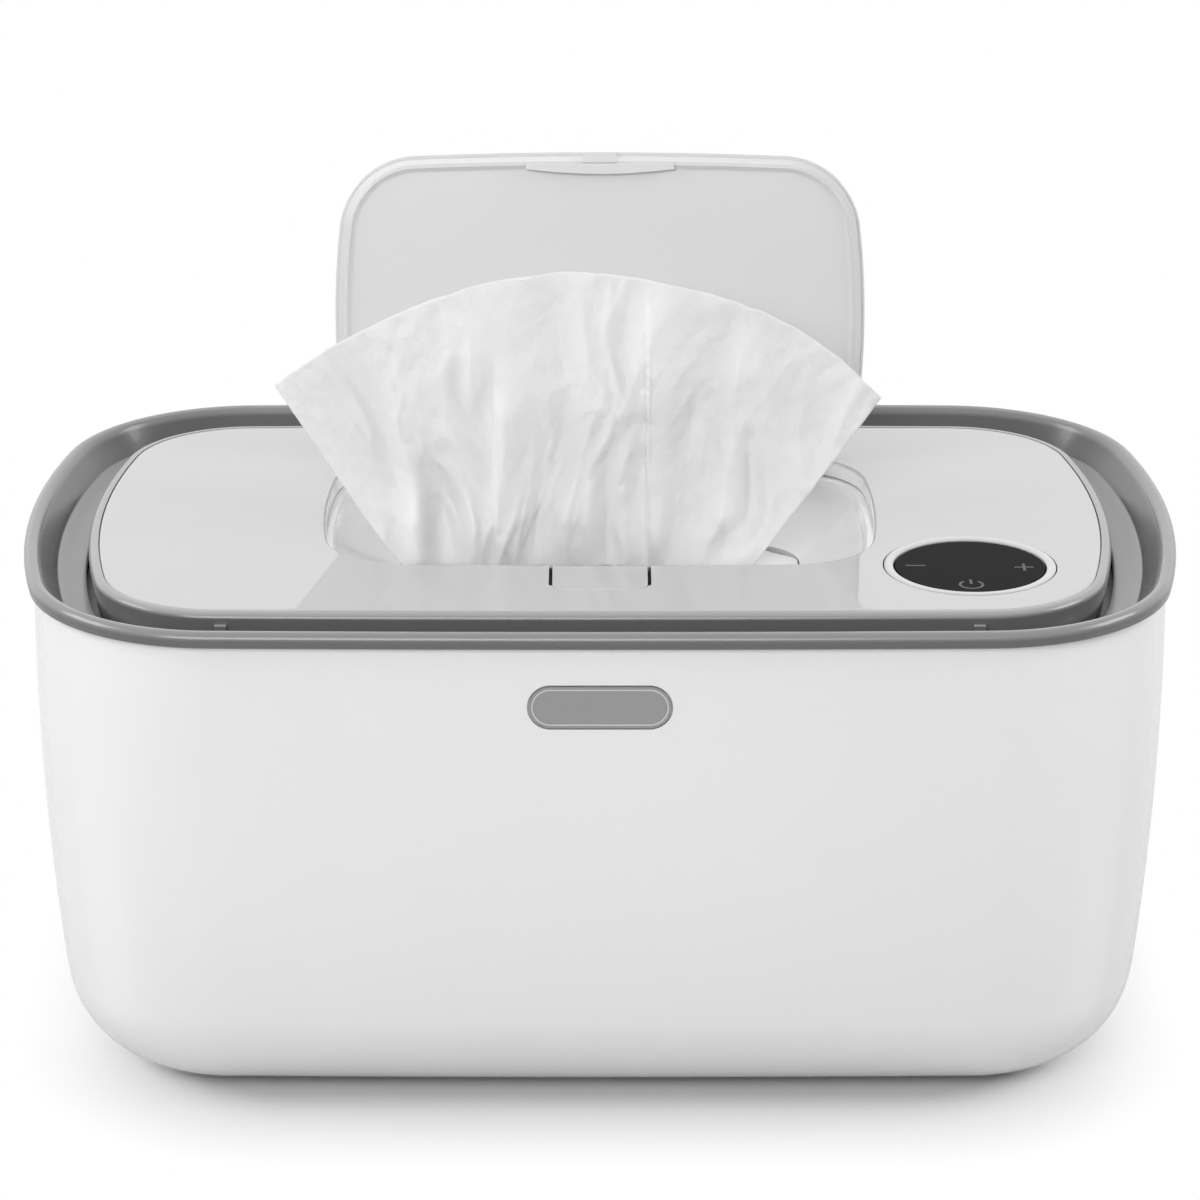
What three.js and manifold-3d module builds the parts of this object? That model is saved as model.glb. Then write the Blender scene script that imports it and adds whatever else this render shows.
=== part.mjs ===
// Baby wipe warmer: a heated wipe tank in a white shell, with a hinged lid, a flip-up flap and a pulled wipe.
// Millimetres, +Z up, the origin on the standing surface under the middle of the rim, the front towards -Y.
import * as THREE from 'three';
import { mergeVertices } from 'three/addons/utils/BufferGeometryUtils.js';
import Module from 'manifold-3d';

const wasm = await Module();
wasm.setup();

// Overall size and plan outline of the rim
const rimWidth = 262;
const rimDepth = 162;
const rimHeight = 117.4;
const rimCornerRadius = 43.5;
const rimEndRadius = 229;
const rimSideRadius = 4600;

// Clearances
const seatGap = 0.3;
const swingGap = 0.5;
const cutOver = 2;

// Outer shell
const shellWall = 2;
const shellInset = 1.9;
const shellWidestDrop = 24.4;
const shellBulgeRadius = 650;
const shellBottomRadius = 24.4;
const shellBottomLevel = 1;
const shellFlange = 8;
const shellLipWall = 1.2;
const shellLipDepth = 8;

// Rim collar: bead, trough wall, ledge, gutter
const beadWidth = 3.7;
const beadHeight = 3.6;
const beadShares = [[0.08, 1], [0, 0.51], [0.09, 0.22], [0.3, 0.03], [0.51, 0], [0.78, 0.1], [1, 0.41]];
const collarWall = 1.8;
const troughInset = 7.7;
const troughDepth = 6.4;
const troughFillet = 0.9;
const troughShares = [[-1, 1], [0, 0.17], [1, -0.25]];
const ledgeInset = 12.6;
const ledgeSlope = 1.1;
const gutterWidth = 6;

// Wipe tank
const tankWall = 2;
const tankMargin = 1.7;
const tankDraft = 3.7;
const tankFloorRadius = 8;
const tankFloorShares = [[1, 0], [0.29, 0.29], [0, 1]];

// Lid levels and rings
const lidDrop = 0.7;
const lidGap = 1.9;
const ringWidth = 2.4;
const coverThick = 1.8;
const coverEdge = 0.4;
const ringEdge = 1.2;
const skirtDepth = 11.7;
const skirtWall = 1.7;
const skirtDraft = 1.7;
const ledgeThick = 1.6;
const frameLedge = 3.9;
const panThick = 1.8;
const gasketWidth = 2.5;
const gasketRoom = 1.7;
const ribWidth = 2.6;
const ribProud = 1.3;
const ribEndInset = 48.5;
const ribDepth = 2.5;

// Dispensing well and slot
const wellEndInset = 68;
const wellFrontInset = 46.4;
const wellBackInset = 38.6;
const wellCornerRadius = 19;
const wellEndRadius = 190;
const wellSideBow = 1.804;
const wellWall = 1.8;
const wellLedge = 2;
const wellStep = 2.2;
const wellStepDraft = 0.4;
const slotEndInset = 17;
const slotDepth = 30;
const slotCornerRadius = 12;
const slotEndRadius = 30;
const slotSideRadius = 300;
const slotForward = 3.4;
const slotDrop = 11.9;
const slotLip = 2.6;
const insertWall = 1.8;
const funnelShares = [0.5, 0.62];

// Lid hinge
const armGap = 0.4;
const lidHingeEndInset = 69;
const lidKnuckle = 2.2;
const lidPin = 1.15;
const armWidth = 5;
const armDepth = 2.6;
const lugWidth = 3;

// Flap and its hinge
const flapGap = 0.4;
const flapThick = 2;
const flapEdge = 0.4;
const flapKnuckle = 1.5;
const flapPin = 0.8;
const flapReliefGap = 0.645;
const flapSweepGap = 0.25;
const flapOpenAngle = 105;
const flapEarShare = 0.5454;
const flapEarWidth = 5;
const flapKnuckleWidth = 4;
const flapSpringWidth = 11;
const linerInset = 0.8;
const linerStep = 1;
const linerRingInset = 2.4;
const linerRingWidth = 1;
const linerRingDepth = 2.9;
const linerPanel = 1.3;
const linerDraft = 0.3;
const sealInset = 2.6;
const sealWidth = 0.6;
const sealThick = 0.5;
const catchInset = 2.7;
const catchWidth = 35;
const catchEnd = 1.3;
const catchBow = 1.2;
const tongueWidth = 8;
const tongueThick = 1;
const tongueReach = 0.2;

// Latch tab
const tabWidth = 21.2;
const tabSlit = 0.8;
const tabLength = 14.9;
const tabThick = 1.7;
const tabCornerRadius = 2.8;
const noseWidth = 10;
const noseDepth = 0.7;
const noseHeight = 1.6;
const pocketWidth = 24;

// Touch panel
const panelEndInset = 48.5;
const panelFrontInset = 46;
const lensRadius = 16.85;
const lensThick = 1.4;
const bezelWidth = 2;
const bezelProud = 0.3;
const guideRadius = 14;
const boardMargin = 1;
const boardThick = 1.2;

// Lid screws
const lidScrewEndInset = 81;
const lidScrewMargin = 1;
const screwHeadRadius = 2.8;
const screwHeadHeight = 1;
const screwShankRadius = 1.3;
const lidScrewLength = 6.6;
const bossRadius = 3.2;

// Base plate, screws and feet
const plateThick = 2;
const plateRecess = 0.2;
const plateLip = 6.7;
const plateLipWidth = 11;
const baseScrewEndInset = 71;
const baseScrewLength = 5.2;
const headRecess = 1.4;
const footMargin = 6;
const footRadius = 7;
const footHeight = 1.9;
const footBevel = 0.6;

// Heater under the tank
const spreaderInset = 36;
const spreaderThick = 1.3;
const filmEndMargin = 23;
const filmSideMargin = 6;
const filmThick = 0.6;
const padSideMargin = 3;
const padThick = 6;
const sensorMargin = 12;
const sensorWidth = 8;
const sensorDepth = 5;
const sensorHeight = 3;
const cutoffMargin = 11.5;
const cutoffRadius = 7.5;
const cutoffHeight = 5;

// Power board
const powerBoardWidth = 72;
const powerBoardDepth = 36;
const powerBoardInset = 49;
const postRadius = 3;
const postHeight = 5.5;
const postInset = 5;
const capacitorRadius = 3;
const capacitorLength = 10;
const partsRoom = 0.7;
const terminalWidth = 18;
const terminalDepth = 7;
const terminalHeight = 5.5;

// Power inlet at the rear
const inletMargin = 4.6;
const inletThread = 3.9;
const inletFlangeRadius = 5.6;
const inletFlangeThick = 1;
const inletBore = 2.8;
const inletBoreDepth = 8;
const inletPin = 1;
const inletLength = 11;
const nutWall = 2.3;
const nutThick = 2;

// Leads
const leadRadius = 1.2;
const leadStep = 7.2;

// Plain front plaque
const plaqueWidth = 31;
const plaqueHeight = 9.6;
const plaqueDrop = 17.4;
const plaqueThick = 0.6;

// Pulled wipe: a fan of cloth gathered in the slot
const wipeThick = 0.5;
const wipeCentreX = -6.5;
const wipeCentreDrop = 53.8;
const wipeRadius = 117;
const wipeCrown = 6;
const wipeCrownShares = [0.6, 0.4];
const wipeTailRadius = 46;
const wipeLeftGap = 1.2;
const wipeRightGap = 11.7;
const wipeForward = -0.5;
const wipeLean = 0.08;
const wipeFoldDeep = 4.6;
const wipeFoldShallow = 1.6;
const wipePleats = 6.5;
const wipePleatShares = [0.75, 0.25];

// Levels and places that follow from the sizes
const halfWidth = rimWidth / 2;
const halfDepth = rimDepth / 2;
const lidTop = rimHeight - lidDrop;
const coverUnder = lidTop - coverThick;
const skirtBottom = lidTop - skirtDepth;
const tankTop = skirtBottom - gasketRoom;
const gutterLevel = tankTop - tankWall - seatGap;
const gutterInset = ledgeInset + gutterWidth;
const tankTopInset = gutterInset + tankMargin;
const tankBottomInset = tankTopInset + tankDraft;
const lidInset = ledgeInset + lidGap;
const coverInset = lidInset + ringWidth;
const panInset = lidInset + skirtWall + skirtDraft + swingGap;
const gasketInset = panInset + seatGap;
const lidScrewInset = gasketInset + gasketWidth + screwHeadRadius + lidScrewMargin;
const panBottom = skirtBottom + 2 * seatGap;
const panTop = panBottom + panThick;
const wellWidth = rimWidth - 2 * wellEndInset;
const earX = flapEarShare * (wellWidth / 2 - wellCornerRadius);
const flapPinReach = earX + flapEarWidth / 2 + swingGap + flapKnuckleWidth;
const flapLean = THREE.MathUtils.degToRad(flapOpenAngle) - Math.PI / 2;
const flapBehind = flapKnuckle * (1 + Math.sin(flapLean)) / Math.cos(flapLean);
const flapBow = wellSideBow * (2 * flapPinReach / wellWidth) ** 2;
const flapAxisInset = flapBehind + flapBow + seatGap;
const flapSweep = Math.hypot(flapAxisInset - flapGap, flapKnuckle - flapEdge);
const wellWallDepth = flapKnuckle + flapSweep + flapSweepGap - seatGap;
const wellLevel = lidTop - wellWallDepth - seatGap;
const stepLevel = wellLevel - wellStep;
const slotLevel = lidTop - slotDrop;
const lidAxisY = halfDepth - panInset + armGap + armDepth / 2;
const lidAxisZ = coverUnder - seatGap - lidKnuckle;
const wellBack = halfDepth - wellBackInset;
const wellFront = wellFrontInset - halfDepth;
const wellDepth = wellBack - wellFront;
const wellOffset = (wellBack + wellFront) / 2;
const wellSideRadius = wellWidth ** 2 / (8 * wellSideBow);
const slotWidth = wellWidth - 2 * slotEndInset;
const slotOffset = wellOffset - slotForward;
const flapAxisY = wellBack - flapAxisInset;
const flapAxisZ = lidTop - flapKnuckle;
const shellTop = rimHeight - beadHeight - seatGap;
const shellWidestLevel = rimHeight - shellWidestDrop;
const plateBottom = shellBottomLevel + plateRecess;
const plateTop = plateBottom + plateThick;
const lipBottom = shellBottomLevel + shellWall + seatGap;
const lipTop = lipBottom + plateThick;
const boardLevel = plateTop + postHeight + seatGap;
const boardTop = boardLevel + boardThick;
const partsLevel = boardTop + seatGap;
const padLevel = partsLevel + Math.max(2 * capacitorRadius, terminalHeight) + partsRoom;
const filmLevel = padLevel + padThick + seatGap;
const spreaderLevel = filmLevel + filmThick + seatGap;
const floorUnder = spreaderLevel + spreaderThick;
const tankFloorLevel = floorUnder + seatGap;
const inletLevel = shellBottomLevel + shellBottomRadius + inletMargin;
const panelX = halfWidth - panelEndInset;
const panelY = panelFrontInset - halfDepth;

// How many straight steps stand for a round
const endSteps = 2;
const cornerSteps = 5;
const sideSteps = 1;
const wallSteps = 2;
const roundSteps = 20;
const smallSteps = 10;
const leadSides = 6;
const nutSides = 6;

// Materials
function finish(color, roughness, metalness = 0) {
  return new THREE.MeshStandardMaterial({ color, roughness, metalness });
}
const whiteGloss = finish(0xf4f4f3, 0.12);
const whiteSatin = finish(0xe9e9e7, 0.35);
const greySatin = finish(0x9d9e9e, 0.35);
const lightGrey = finish(0xc2c3c3, 0.3);
const blackGlass = finish(0x0c0c0d, 0.05);
const silicone = finish(0xd9d9d6, 0.6);
const rubber = finish(0x6d6e70, 0.85);
const steel = finish(0xb9bcc0, 0.3, 1);
const aluminium = finish(0xc9ccd0, 0.4, 1);
const filmOrange = finish(0xb5652a, 0.5);
const foam = finish(0xdcdcdc, 0.95);
const boardGreen = finish(0x1f5a38, 0.5);
const blackPlastic = finish(0x1b1c1e, 0.45);
const clothWhite = finish(0xfafafa, 0.9);
const plaqueGrey = finish(0x9a9b9b, 0.35);

// Joining and cutting closed meshes
function toSolid(geometry) {
  const bare = geometry.index ? geometry.toNonIndexed() : geometry.clone();
  bare.deleteAttribute('normal');
  bare.deleteAttribute('uv');
  const merged = mergeVertices(bare, 1e-5);
  return new wasm.Manifold(new wasm.Mesh({
    numProp: 3,
    vertProperties: new Float32Array(merged.attributes.position.array),
    triVerts: new Uint32Array(merged.index.array),
  }));
}

function toGeometry(solid) {
  const mesh = solid.getMesh();
  const geometry = new THREE.BufferGeometry();
  geometry.setAttribute('position', new THREE.BufferAttribute(new Float32Array(mesh.vertProperties), 3));
  geometry.setIndex(new THREE.BufferAttribute(new Uint32Array(mesh.triVerts), 1));
  return geometry;
}

function shaped(base, joined, cuts) {
  let solid = toSolid(base);
  for (const piece of joined) {
    solid = solid.add(toSolid(piece));
  }
  for (const piece of cuts) {
    solid = solid.subtract(toSolid(piece));
  }
  return toGeometry(solid);
}

// Plan outlines: end, corner and side arcs, each tangent to the next, as rings of points at an inset and a level;
// a corner is no rounder than the outline's end has room for
const cornerRoomShare = 0.95;
function planOutline(width, depth, widestCorner, end, side, offsetY) {
  const room = (side ** 2 - (width / 2) ** 2 - (side - depth / 2) ** 2) / (2 * side - width);
  const corner = Math.min(widestCorner, cornerRoomShare * room);
  const endCentre = new THREE.Vector2(width / 2 - end, 0);
  const sideCentre = new THREE.Vector2(0, depth / 2 - side);
  const apart = endCentre.distanceTo(sideCentre);
  const along = ((end - corner) ** 2 - (side - corner) ** 2 + apart ** 2) / (2 * apart);
  const across = Math.sqrt((end - corner) ** 2 - along ** 2);
  const towards = sideCentre.clone().sub(endCentre).normalize();
  const square = new THREE.Vector2(-towards.y, towards.x);
  const options = [across, -across].map((a) => endCentre.clone()
    .addScaledVector(towards, along).addScaledVector(square, a));
  const cornerCentre = options[0].x > options[1].x ? options[0] : options[1];
  const endAngle = cornerCentre.clone().sub(endCentre).angle();
  const sideAngle = cornerCentre.clone().sub(sideCentre).angle();
  const arcs = [
    [endCentre, end, 0, endAngle, endSteps],
    [cornerCentre, corner, endAngle, sideAngle, cornerSteps],
    [sideCentre, side, sideAngle, Math.PI / 2, sideSteps],
  ];
  return (inset, level) => {
    const quarter = [];
    for (const [centre, radius, from, to, steps] of arcs) {
      for (let i = 0; i < steps; i++) {
        const angle = THREE.MathUtils.lerp(from, to, i / steps);
        quarter.push([
          centre.x + (radius - inset) * Math.cos(angle),
          centre.y + (radius - inset) * Math.sin(angle),
        ]);
      }
    }
    const top = [[0, depth / 2 - inset]];
    const right = quarter.concat(top);
    const upper = right.concat(quarter.slice().reverse().map(([x, y]) => [-x, y]));
    const lower = upper.slice(1, -1).reverse().map(([x, y]) => [x, -y]);
    return upper.concat(lower).map(([x, y]) => new THREE.Vector3(x, y + offsetY, level));
  };
}

const rim = planOutline(rimWidth, rimDepth, rimCornerRadius, rimEndRadius, rimSideRadius, 0);
const well = planOutline(wellWidth, wellDepth, wellCornerRadius, wellEndRadius, wellSideRadius, wellOffset);
const slot = planOutline(slotWidth, slotDepth, slotCornerRadius, slotEndRadius, slotSideRadius, slotOffset);

function blendRings(from, to, share, levelShare) {
  return from.map((p, i) => new THREE.Vector3(
    THREE.MathUtils.lerp(p.x, to[i].x, share),
    THREE.MathUtils.lerp(p.y, to[i].y, share),
    THREE.MathUtils.lerp(p.z, to[i].z, levelShare),
  ));
}

// Four places round the middle, and the front of a ring at a place across
function fourSpots(x, y, middleY = 0) {
  return [[-1, -1], [1, -1], [1, 1], [-1, 1]].map(([i, j]) => [i * x, middleY + j * y]);
}

function frontAt(ring, x) {
  const i = ring.findIndex((p, k) => p.y < 0 && p.x <= x && ring[(k + 1) % ring.length].x > x);
  const [a, b] = [ring[i], ring[(i + 1) % ring.length]];
  return THREE.MathUtils.lerp(a.y, b.y, (x - a.x) / (b.x - a.x));
}

// A skin through rings of points: it closes on itself, or its first and last rings are capped
function skin(rings, capped) {
  const count = rings[0].length;
  const points = rings.flat();
  const faces = [];
  const bands = capped ? rings.length - 1 : rings.length;
  for (let band = 0; band < bands; band++) {
    const low = band * count;
    const high = ((band + 1) % rings.length) * count;
    for (let i = 0; i < count; i++) {
      const next = (i + 1) % count;
      faces.push(low + i, low + next, high + next, low + i, high + next, high + i);
    }
  }
  if (capped) {
    const ends = [[rings[0], 0, true], [rings.at(-1), (rings.length - 1) * count, false]];
    for (const [ring, start, turn] of ends) {
      const middle = ring.reduce((sum, p) => sum.add(p), new THREE.Vector3()).divideScalar(count);
      points.push(middle);
      for (let i = 0; i < count; i++) {
        const next = (i + 1) % count;
        const pair = turn ? [start + next, start + i] : [start + i, start + next];
        faces.push(points.length - 1, ...pair);
      }
    }
  }
  return faced(points, faces);
}

// A closed body from points and faces, with its faces turned outwards
function faced(points, faces) {
  let volume = 0;
  for (let i = 0; i < faces.length; i += 3) {
    const [a, b, c] = [points[faces[i]], points[faces[i + 1]], points[faces[i + 2]]];
    volume += a.dot(new THREE.Vector3().crossVectors(b, c));
  }
  const outward = [];
  for (let i = 0; i < faces.length; i += 3) {
    outward.push(faces[i], ...(volume < 0 ? [faces[i + 2], faces[i + 1]] : [faces[i + 1], faces[i + 2]]));
  }
  const geometry = new THREE.BufferGeometry().setFromPoints(points);
  geometry.setIndex(outward);
  return geometry;
}

// Blocks, rods and turned pieces in place
function block(x0, x1, y0, y1, z0, z1) {
  const geometry = new THREE.BoxGeometry(x1 - x0, y1 - y0, z1 - z0);
  return geometry.translate((x0 + x1) / 2, (y0 + y1) / 2, (z0 + z1) / 2);
}

function upright(radius, x, y, z0, z1, steps = roundSteps) {
  const geometry = new THREE.CylinderGeometry(radius, radius, z1 - z0, steps);
  return geometry.rotateX(Math.PI / 2).translate(x, y, (z0 + z1) / 2);
}

function crossRod(radius, x0, x1, y, z, steps = smallSteps) {
  const geometry = new THREE.CylinderGeometry(radius, radius, x1 - x0, steps);
  return geometry.rotateZ(Math.PI / 2).translate((x0 + x1) / 2, y, z);
}

function turned(profile, steps = roundSteps) {
  const points = profile.map(([r, z]) => new THREE.Vector2(r, z));
  const lathe = new THREE.LatheGeometry(points, steps).rotateX(Math.PI / 2);
  lathe.deleteAttribute('normal');
  lathe.deleteAttribute('uv');
  const merged = mergeVertices(lathe);
  const index = [...merged.index.array];
  const kept = [];
  for (let i = 0; i < index.length; i += 3) {
    const [a, b, c] = index.slice(i, i + 3);
    if (a !== b && b !== c && c !== a) {
      kept.push(a, b, c);
    }
  }
  const spots = merged.attributes.position;
  const corners = Array.from({ length: spots.count },
    (_, i) => new THREE.Vector3().fromBufferAttribute(spots, i));
  return faced(corners, kept);
}

function lead(route) {
  const path = new THREE.CatmullRomCurve3(route.map((p) => new THREE.Vector3(...p)), false, 'centripetal');
  const section = new THREE.Shape();
  section.absarc(0, 0, leadRadius, 0, 2 * Math.PI, false);
  const steps = Math.round(path.getLength() / leadStep);
  return new THREE.ExtrudeGeometry(section, {
    steps, extrudePath: path, curveSegments: leadSides, bevelEnabled: false,
  });
}

// Groups of pieces that move together
const warmer = new THREE.Group();
const lid = new THREE.Group();
const flap = new THREE.Group();
warmer.add(lid);
lid.add(flap);

function place(name, geometry, material, group = warmer) {
  geometry.deleteAttribute('uv');
  const mesh = new THREE.Mesh(geometry, material);
  mesh.name = name;
  group.add(mesh);
}

// Outer shell: a bulged wall turning into a rounded bottom edge, open at the top and the bottom
function shellSection(offset) {
  const bulge = shellBulgeRadius - offset;
  const corner = shellBottomRadius - offset;
  const drop = shellWidestLevel - shellBottomLevel;
  const turn = Math.asin((drop - shellBottomRadius) / (shellBulgeRadius - shellBottomRadius));
  const middleInset = shellInset + shellBulgeRadius - (shellBulgeRadius - shellBottomRadius) * Math.cos(turn);
  const middleLevel = shellBottomLevel + shellBottomRadius;
  const points = [];
  for (let i = 0; i <= cornerSteps - 1; i++) {
    const angle = THREE.MathUtils.lerp(Math.PI / 2, turn, i / (cornerSteps - 1));
    points.push([middleInset - corner * Math.cos(angle), middleLevel - corner * Math.sin(angle)]);
  }
  for (let i = 1; i <= wallSteps; i++) {
    const angle = THREE.MathUtils.lerp(turn, 0, i / wallSteps);
    points.push([
      shellInset + shellBulgeRadius - bulge * Math.cos(angle),
      shellWidestLevel - bulge * Math.sin(angle),
    ]);
  }
  return points;
}

function shellInsetAt(level, offset = 0) {
  const bulge = shellBulgeRadius - offset;
  return shellInset + shellBulgeRadius - Math.sqrt(bulge ** 2 - (level - shellWidestLevel) ** 2);
}

const outerSection = shellSection(0);
const innerSection = shellSection(shellWall);
const flangeInset = outerSection[0][0] + shellFlange;
const lipInset = shellInsetAt(shellTop) + shellLipWall;
const lipLevel = shellTop - shellLipDepth;
const baseScrewY = halfDepth - outerSection[0][0] - shellFlange / 2;
const baseScrewSpots = fourSpots(halfWidth - baseScrewEndInset, baseScrewY);
const inletTilt = Math.asin((shellWidestLevel - inletLevel) / shellBulgeRadius);
const inletY = halfDepth - shellInsetAt(inletLevel);
const plaqueLevel = rimHeight - plaqueDrop;
const plaqueFace = shellInsetAt(plaqueLevel) - halfDepth;

function pill(width, height, y0, y1, level) {
  const shape = new THREE.Shape();
  const reach = (width - height) / 2;
  shape.absarc(reach, 0, height / 2, -Math.PI / 2, Math.PI / 2, false);
  shape.absarc(-reach, 0, height / 2, Math.PI / 2, 3 * Math.PI / 2, false);
  const geometry = new THREE.ExtrudeGeometry(shape, {
    depth: y1 - y0, bevelEnabled: false, curveSegments: smallSteps,
  });
  return geometry.rotateX(Math.PI / 2).translate(0, y1, level);
}

function atInlet(geometry) {
  return geometry.rotateX(-Math.PI / 2).rotateX(-inletTilt).translate(0, inletY, inletLevel);
}

const shellRings = [
  rim(flangeInset, shellBottomLevel),
  ...outerSection.map(([inset, level]) => rim(inset, level)),
  rim(shellInsetAt(shellTop), shellTop),
  rim(lipInset, shellTop),
  rim(lipInset, lipLevel),
  rim(shellInsetAt(lipLevel, shellWall), lipLevel),
  ...innerSection.slice().reverse().map(([inset, level]) => rim(inset, level)),
  rim(flangeInset, shellBottomLevel + shellWall),
];
const shellCuts = [
  atInlet(upright(inletThread + seatGap, 0, 0, -2 * shellWall, shellWall + cutOver)),
  pill(plaqueWidth + 2 * seatGap, plaqueHeight + 2 * seatGap, plaqueFace - cutOver,
    plaqueFace + plaqueThick + seatGap, plaqueLevel),
];
for (const [x, y] of baseScrewSpots) {
  shellCuts.push(upright(screwShankRadius + seatGap, x, y, 0, lipBottom, smallSteps));
  shellCuts.push(upright(screwHeadRadius + seatGap, x, y, 0, shellBottomLevel + headRecess, smallSteps));
}
place('outer_shell', shaped(skin(shellRings, false), [], shellCuts), whiteGloss);
place('front_plaque', pill(plaqueWidth, plaqueHeight, plaqueFace, plaqueFace + plaqueThick, plaqueLevel),
  plaqueGrey);

// Rim collar: rounded bead over the shell's edge, sloping trough wall, ledge and gutter, with the hinge arms
const armY0 = lidAxisY - armDepth / 2;
const armY1 = lidAxisY + armDepth / 2;
const spigotInset = lipInset + seatGap;
const beadBottom = rimHeight - beadHeight;
const troughLevel = rimHeight - troughDepth;
const ledgeLevel = troughLevel - ledgeSlope;
const collarRings = [
  ...beadShares.map(([a, b]) => rim(a * beadWidth, rimHeight - b * beadHeight)),
  ...troughShares.map(([a, b]) => rim(troughInset + a * troughFillet, troughLevel + b * troughFillet)),
  rim(ledgeInset - troughFillet / 2, ledgeLevel),
  rim(ledgeInset, ledgeLevel - troughFillet / 2),
  rim(ledgeInset, gutterLevel),
  rim(gutterInset, gutterLevel),
  rim(gutterInset, gutterLevel - collarWall),
  rim(ledgeInset - collarWall, gutterLevel - collarWall),
  rim(ledgeInset - collarWall, ledgeLevel - collarWall),
  rim(troughInset - collarWall, troughLevel - collarWall),
  rim(spigotInset, beadBottom - collarWall),
  rim(spigotInset, beadBottom),
];
const hingeSpots = [lidHingeEndInset - halfWidth, halfWidth - lidHingeEndInset];
const arms = [];
const armBores = [];
for (const x of hingeSpots) {
  const [x0, x1] = [x - armWidth / 2, x + armWidth / 2];
  arms.push(block(x0, x1, armY0, armY1, gutterLevel - collarWall / 2, lidAxisZ));
  arms.push(crossRod(lidKnuckle, x0, x1, lidAxisY, lidAxisZ));
  armBores.push(crossRod(lidPin + seatGap, x0 - cutOver, x1 + cutOver, lidAxisY, lidAxisZ));
}
place('rim_collar', shaped(skin(collarRings, false), arms, armBores), greySatin);

// Wipe tank: a tapered tub that hangs by its flange in the gutter
const tankFlangeInset = ledgeInset + swingGap;
const tankRings = [
  ...tankFloorShares.map(([a, b]) => rim(
    tankBottomInset + a * tankFloorRadius,
    tankFloorLevel + b * tankFloorRadius,
  )),
  rim(tankTopInset, gutterLevel + seatGap),
  rim(tankFlangeInset, gutterLevel + seatGap),
  rim(tankFlangeInset, tankTop),
  rim(tankTopInset + tankWall, tankTop),
  ...tankFloorShares.slice().reverse().map(([a, b]) => rim(
    tankBottomInset + tankWall + a * (tankFloorRadius - tankWall / 2),
    tankFloorLevel + tankWall + b * (tankFloorRadius - tankWall / 2),
  )),
];
const tankNotches = hingeSpots.map((x) => block(x - armWidth / 2 - swingGap, x + armWidth / 2 + swingGap,
  armY0 - swingGap, halfDepth - ledgeInset, gutterLevel, tankTop + cutOver));
place('wipe_tank', shaped(skin(tankRings, true), [], tankNotches), whiteSatin);

// Base plate, its screws and feet
const plateInset = flangeInset + seatGap;
const powerBoardY = halfDepth - powerBoardInset - powerBoardDepth / 2;
const postSpots = fourSpots(powerBoardWidth / 2 - postInset, powerBoardDepth / 2 - postInset, powerBoardY);
const footInset = flangeInset + footRadius + footMargin;
const footSpots = fourSpots(halfWidth - footInset, halfDepth - footInset);
const plateRings = [
  rim(plateInset, plateBottom),
  rim(plateInset, lipBottom),
  rim(plateInset - plateLip, lipBottom),
  rim(plateInset - plateLip, lipTop),
  rim(plateInset - plateLip + plateLipWidth, lipTop),
  rim(plateInset - plateLip + plateLipWidth, plateTop),
];
const plateJoins = [];
const plateCuts = [];
for (const [x, y] of postSpots) {
  plateJoins.push(upright(postRadius, x, y, plateTop - plateThick / 2, plateTop + postHeight, smallSteps));
}
const baseHeadLevel = shellBottomLevel + headRecess - seatGap - screwHeadHeight;
const baseHoleTop = baseHeadLevel + screwHeadHeight + baseScrewLength + swingGap;
for (const [x, y] of baseScrewSpots) {
  plateJoins.push(upright(bossRadius, x, y, lipTop - plateThick / 2, baseHoleTop + seatGap, smallSteps));
  plateCuts.push(upright(screwShankRadius + seatGap, x, y, 0, baseHoleTop, smallSteps));
}
for (const [x, y] of footSpots) {
  plateCuts.push(upright(footRadius + seatGap, x, y, 0, footHeight + seatGap));
}
place('base_plate', shaped(skin(plateRings, true), plateJoins, plateCuts), greySatin);

function screw(x, y, under, length, downwards) {
  const sign = downwards ? -1 : 1;
  const profile = [
    [0, 0], [screwHeadRadius, 0], [screwHeadRadius, sign * screwHeadHeight],
    [screwShankRadius, sign * screwHeadHeight], [screwShankRadius, sign * (screwHeadHeight + length)],
    [0, sign * (screwHeadHeight + length)],
  ];
  return turned(profile, smallSteps).translate(x, y, under);
}

baseScrewSpots.forEach(([x, y], i) => {
  place(`base_screw_${i + 1}`, screw(x, y, baseHeadLevel, baseScrewLength, false), steel);
});
footSpots.forEach(([x, y], i) => {
  const profile = [
    [0, 0], [footRadius - footBevel, 0], [footRadius, footBevel], [footRadius, footHeight], [0, footHeight],
  ];
  place(`foot_${i + 1}`, turned(profile).translate(x, y, 0), rubber);
});

// Heater: spreader plate, film, insulation, sensor and thermal cut-off under the tank floor
place('heat_spreader', skin([rim(spreaderInset, spreaderLevel), rim(spreaderInset, floorUnder)], true),
  aluminium);
const spreaderX = halfWidth - spreaderInset;
const spreaderY = halfDepth - spreaderInset;
const filmX = spreaderX - filmEndMargin;
const filmY = spreaderY - filmSideMargin;
const padY = spreaderY - padSideMargin;
place('heater_film', block(-filmX, filmX, -filmY, filmY, filmLevel, filmLevel + filmThick), filmOrange);
place('insulation_pad', block(-filmX, filmX, -padY, padY, padLevel, padLevel + padThick), foam);
const underSpreader = spreaderLevel - seatGap;
const sensorX = sensorMargin - spreaderX;
place('temperature_sensor', block(sensorX - sensorWidth / 2, sensorX + sensorWidth / 2, -sensorDepth / 2,
  sensorDepth / 2, underSpreader - sensorHeight, underSpreader), blackPlastic);
place('thermal_cutoff', upright(cutoffRadius, spreaderX - cutoffMargin, 0, underSpreader - cutoffHeight,
  underSpreader), steel);

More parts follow.
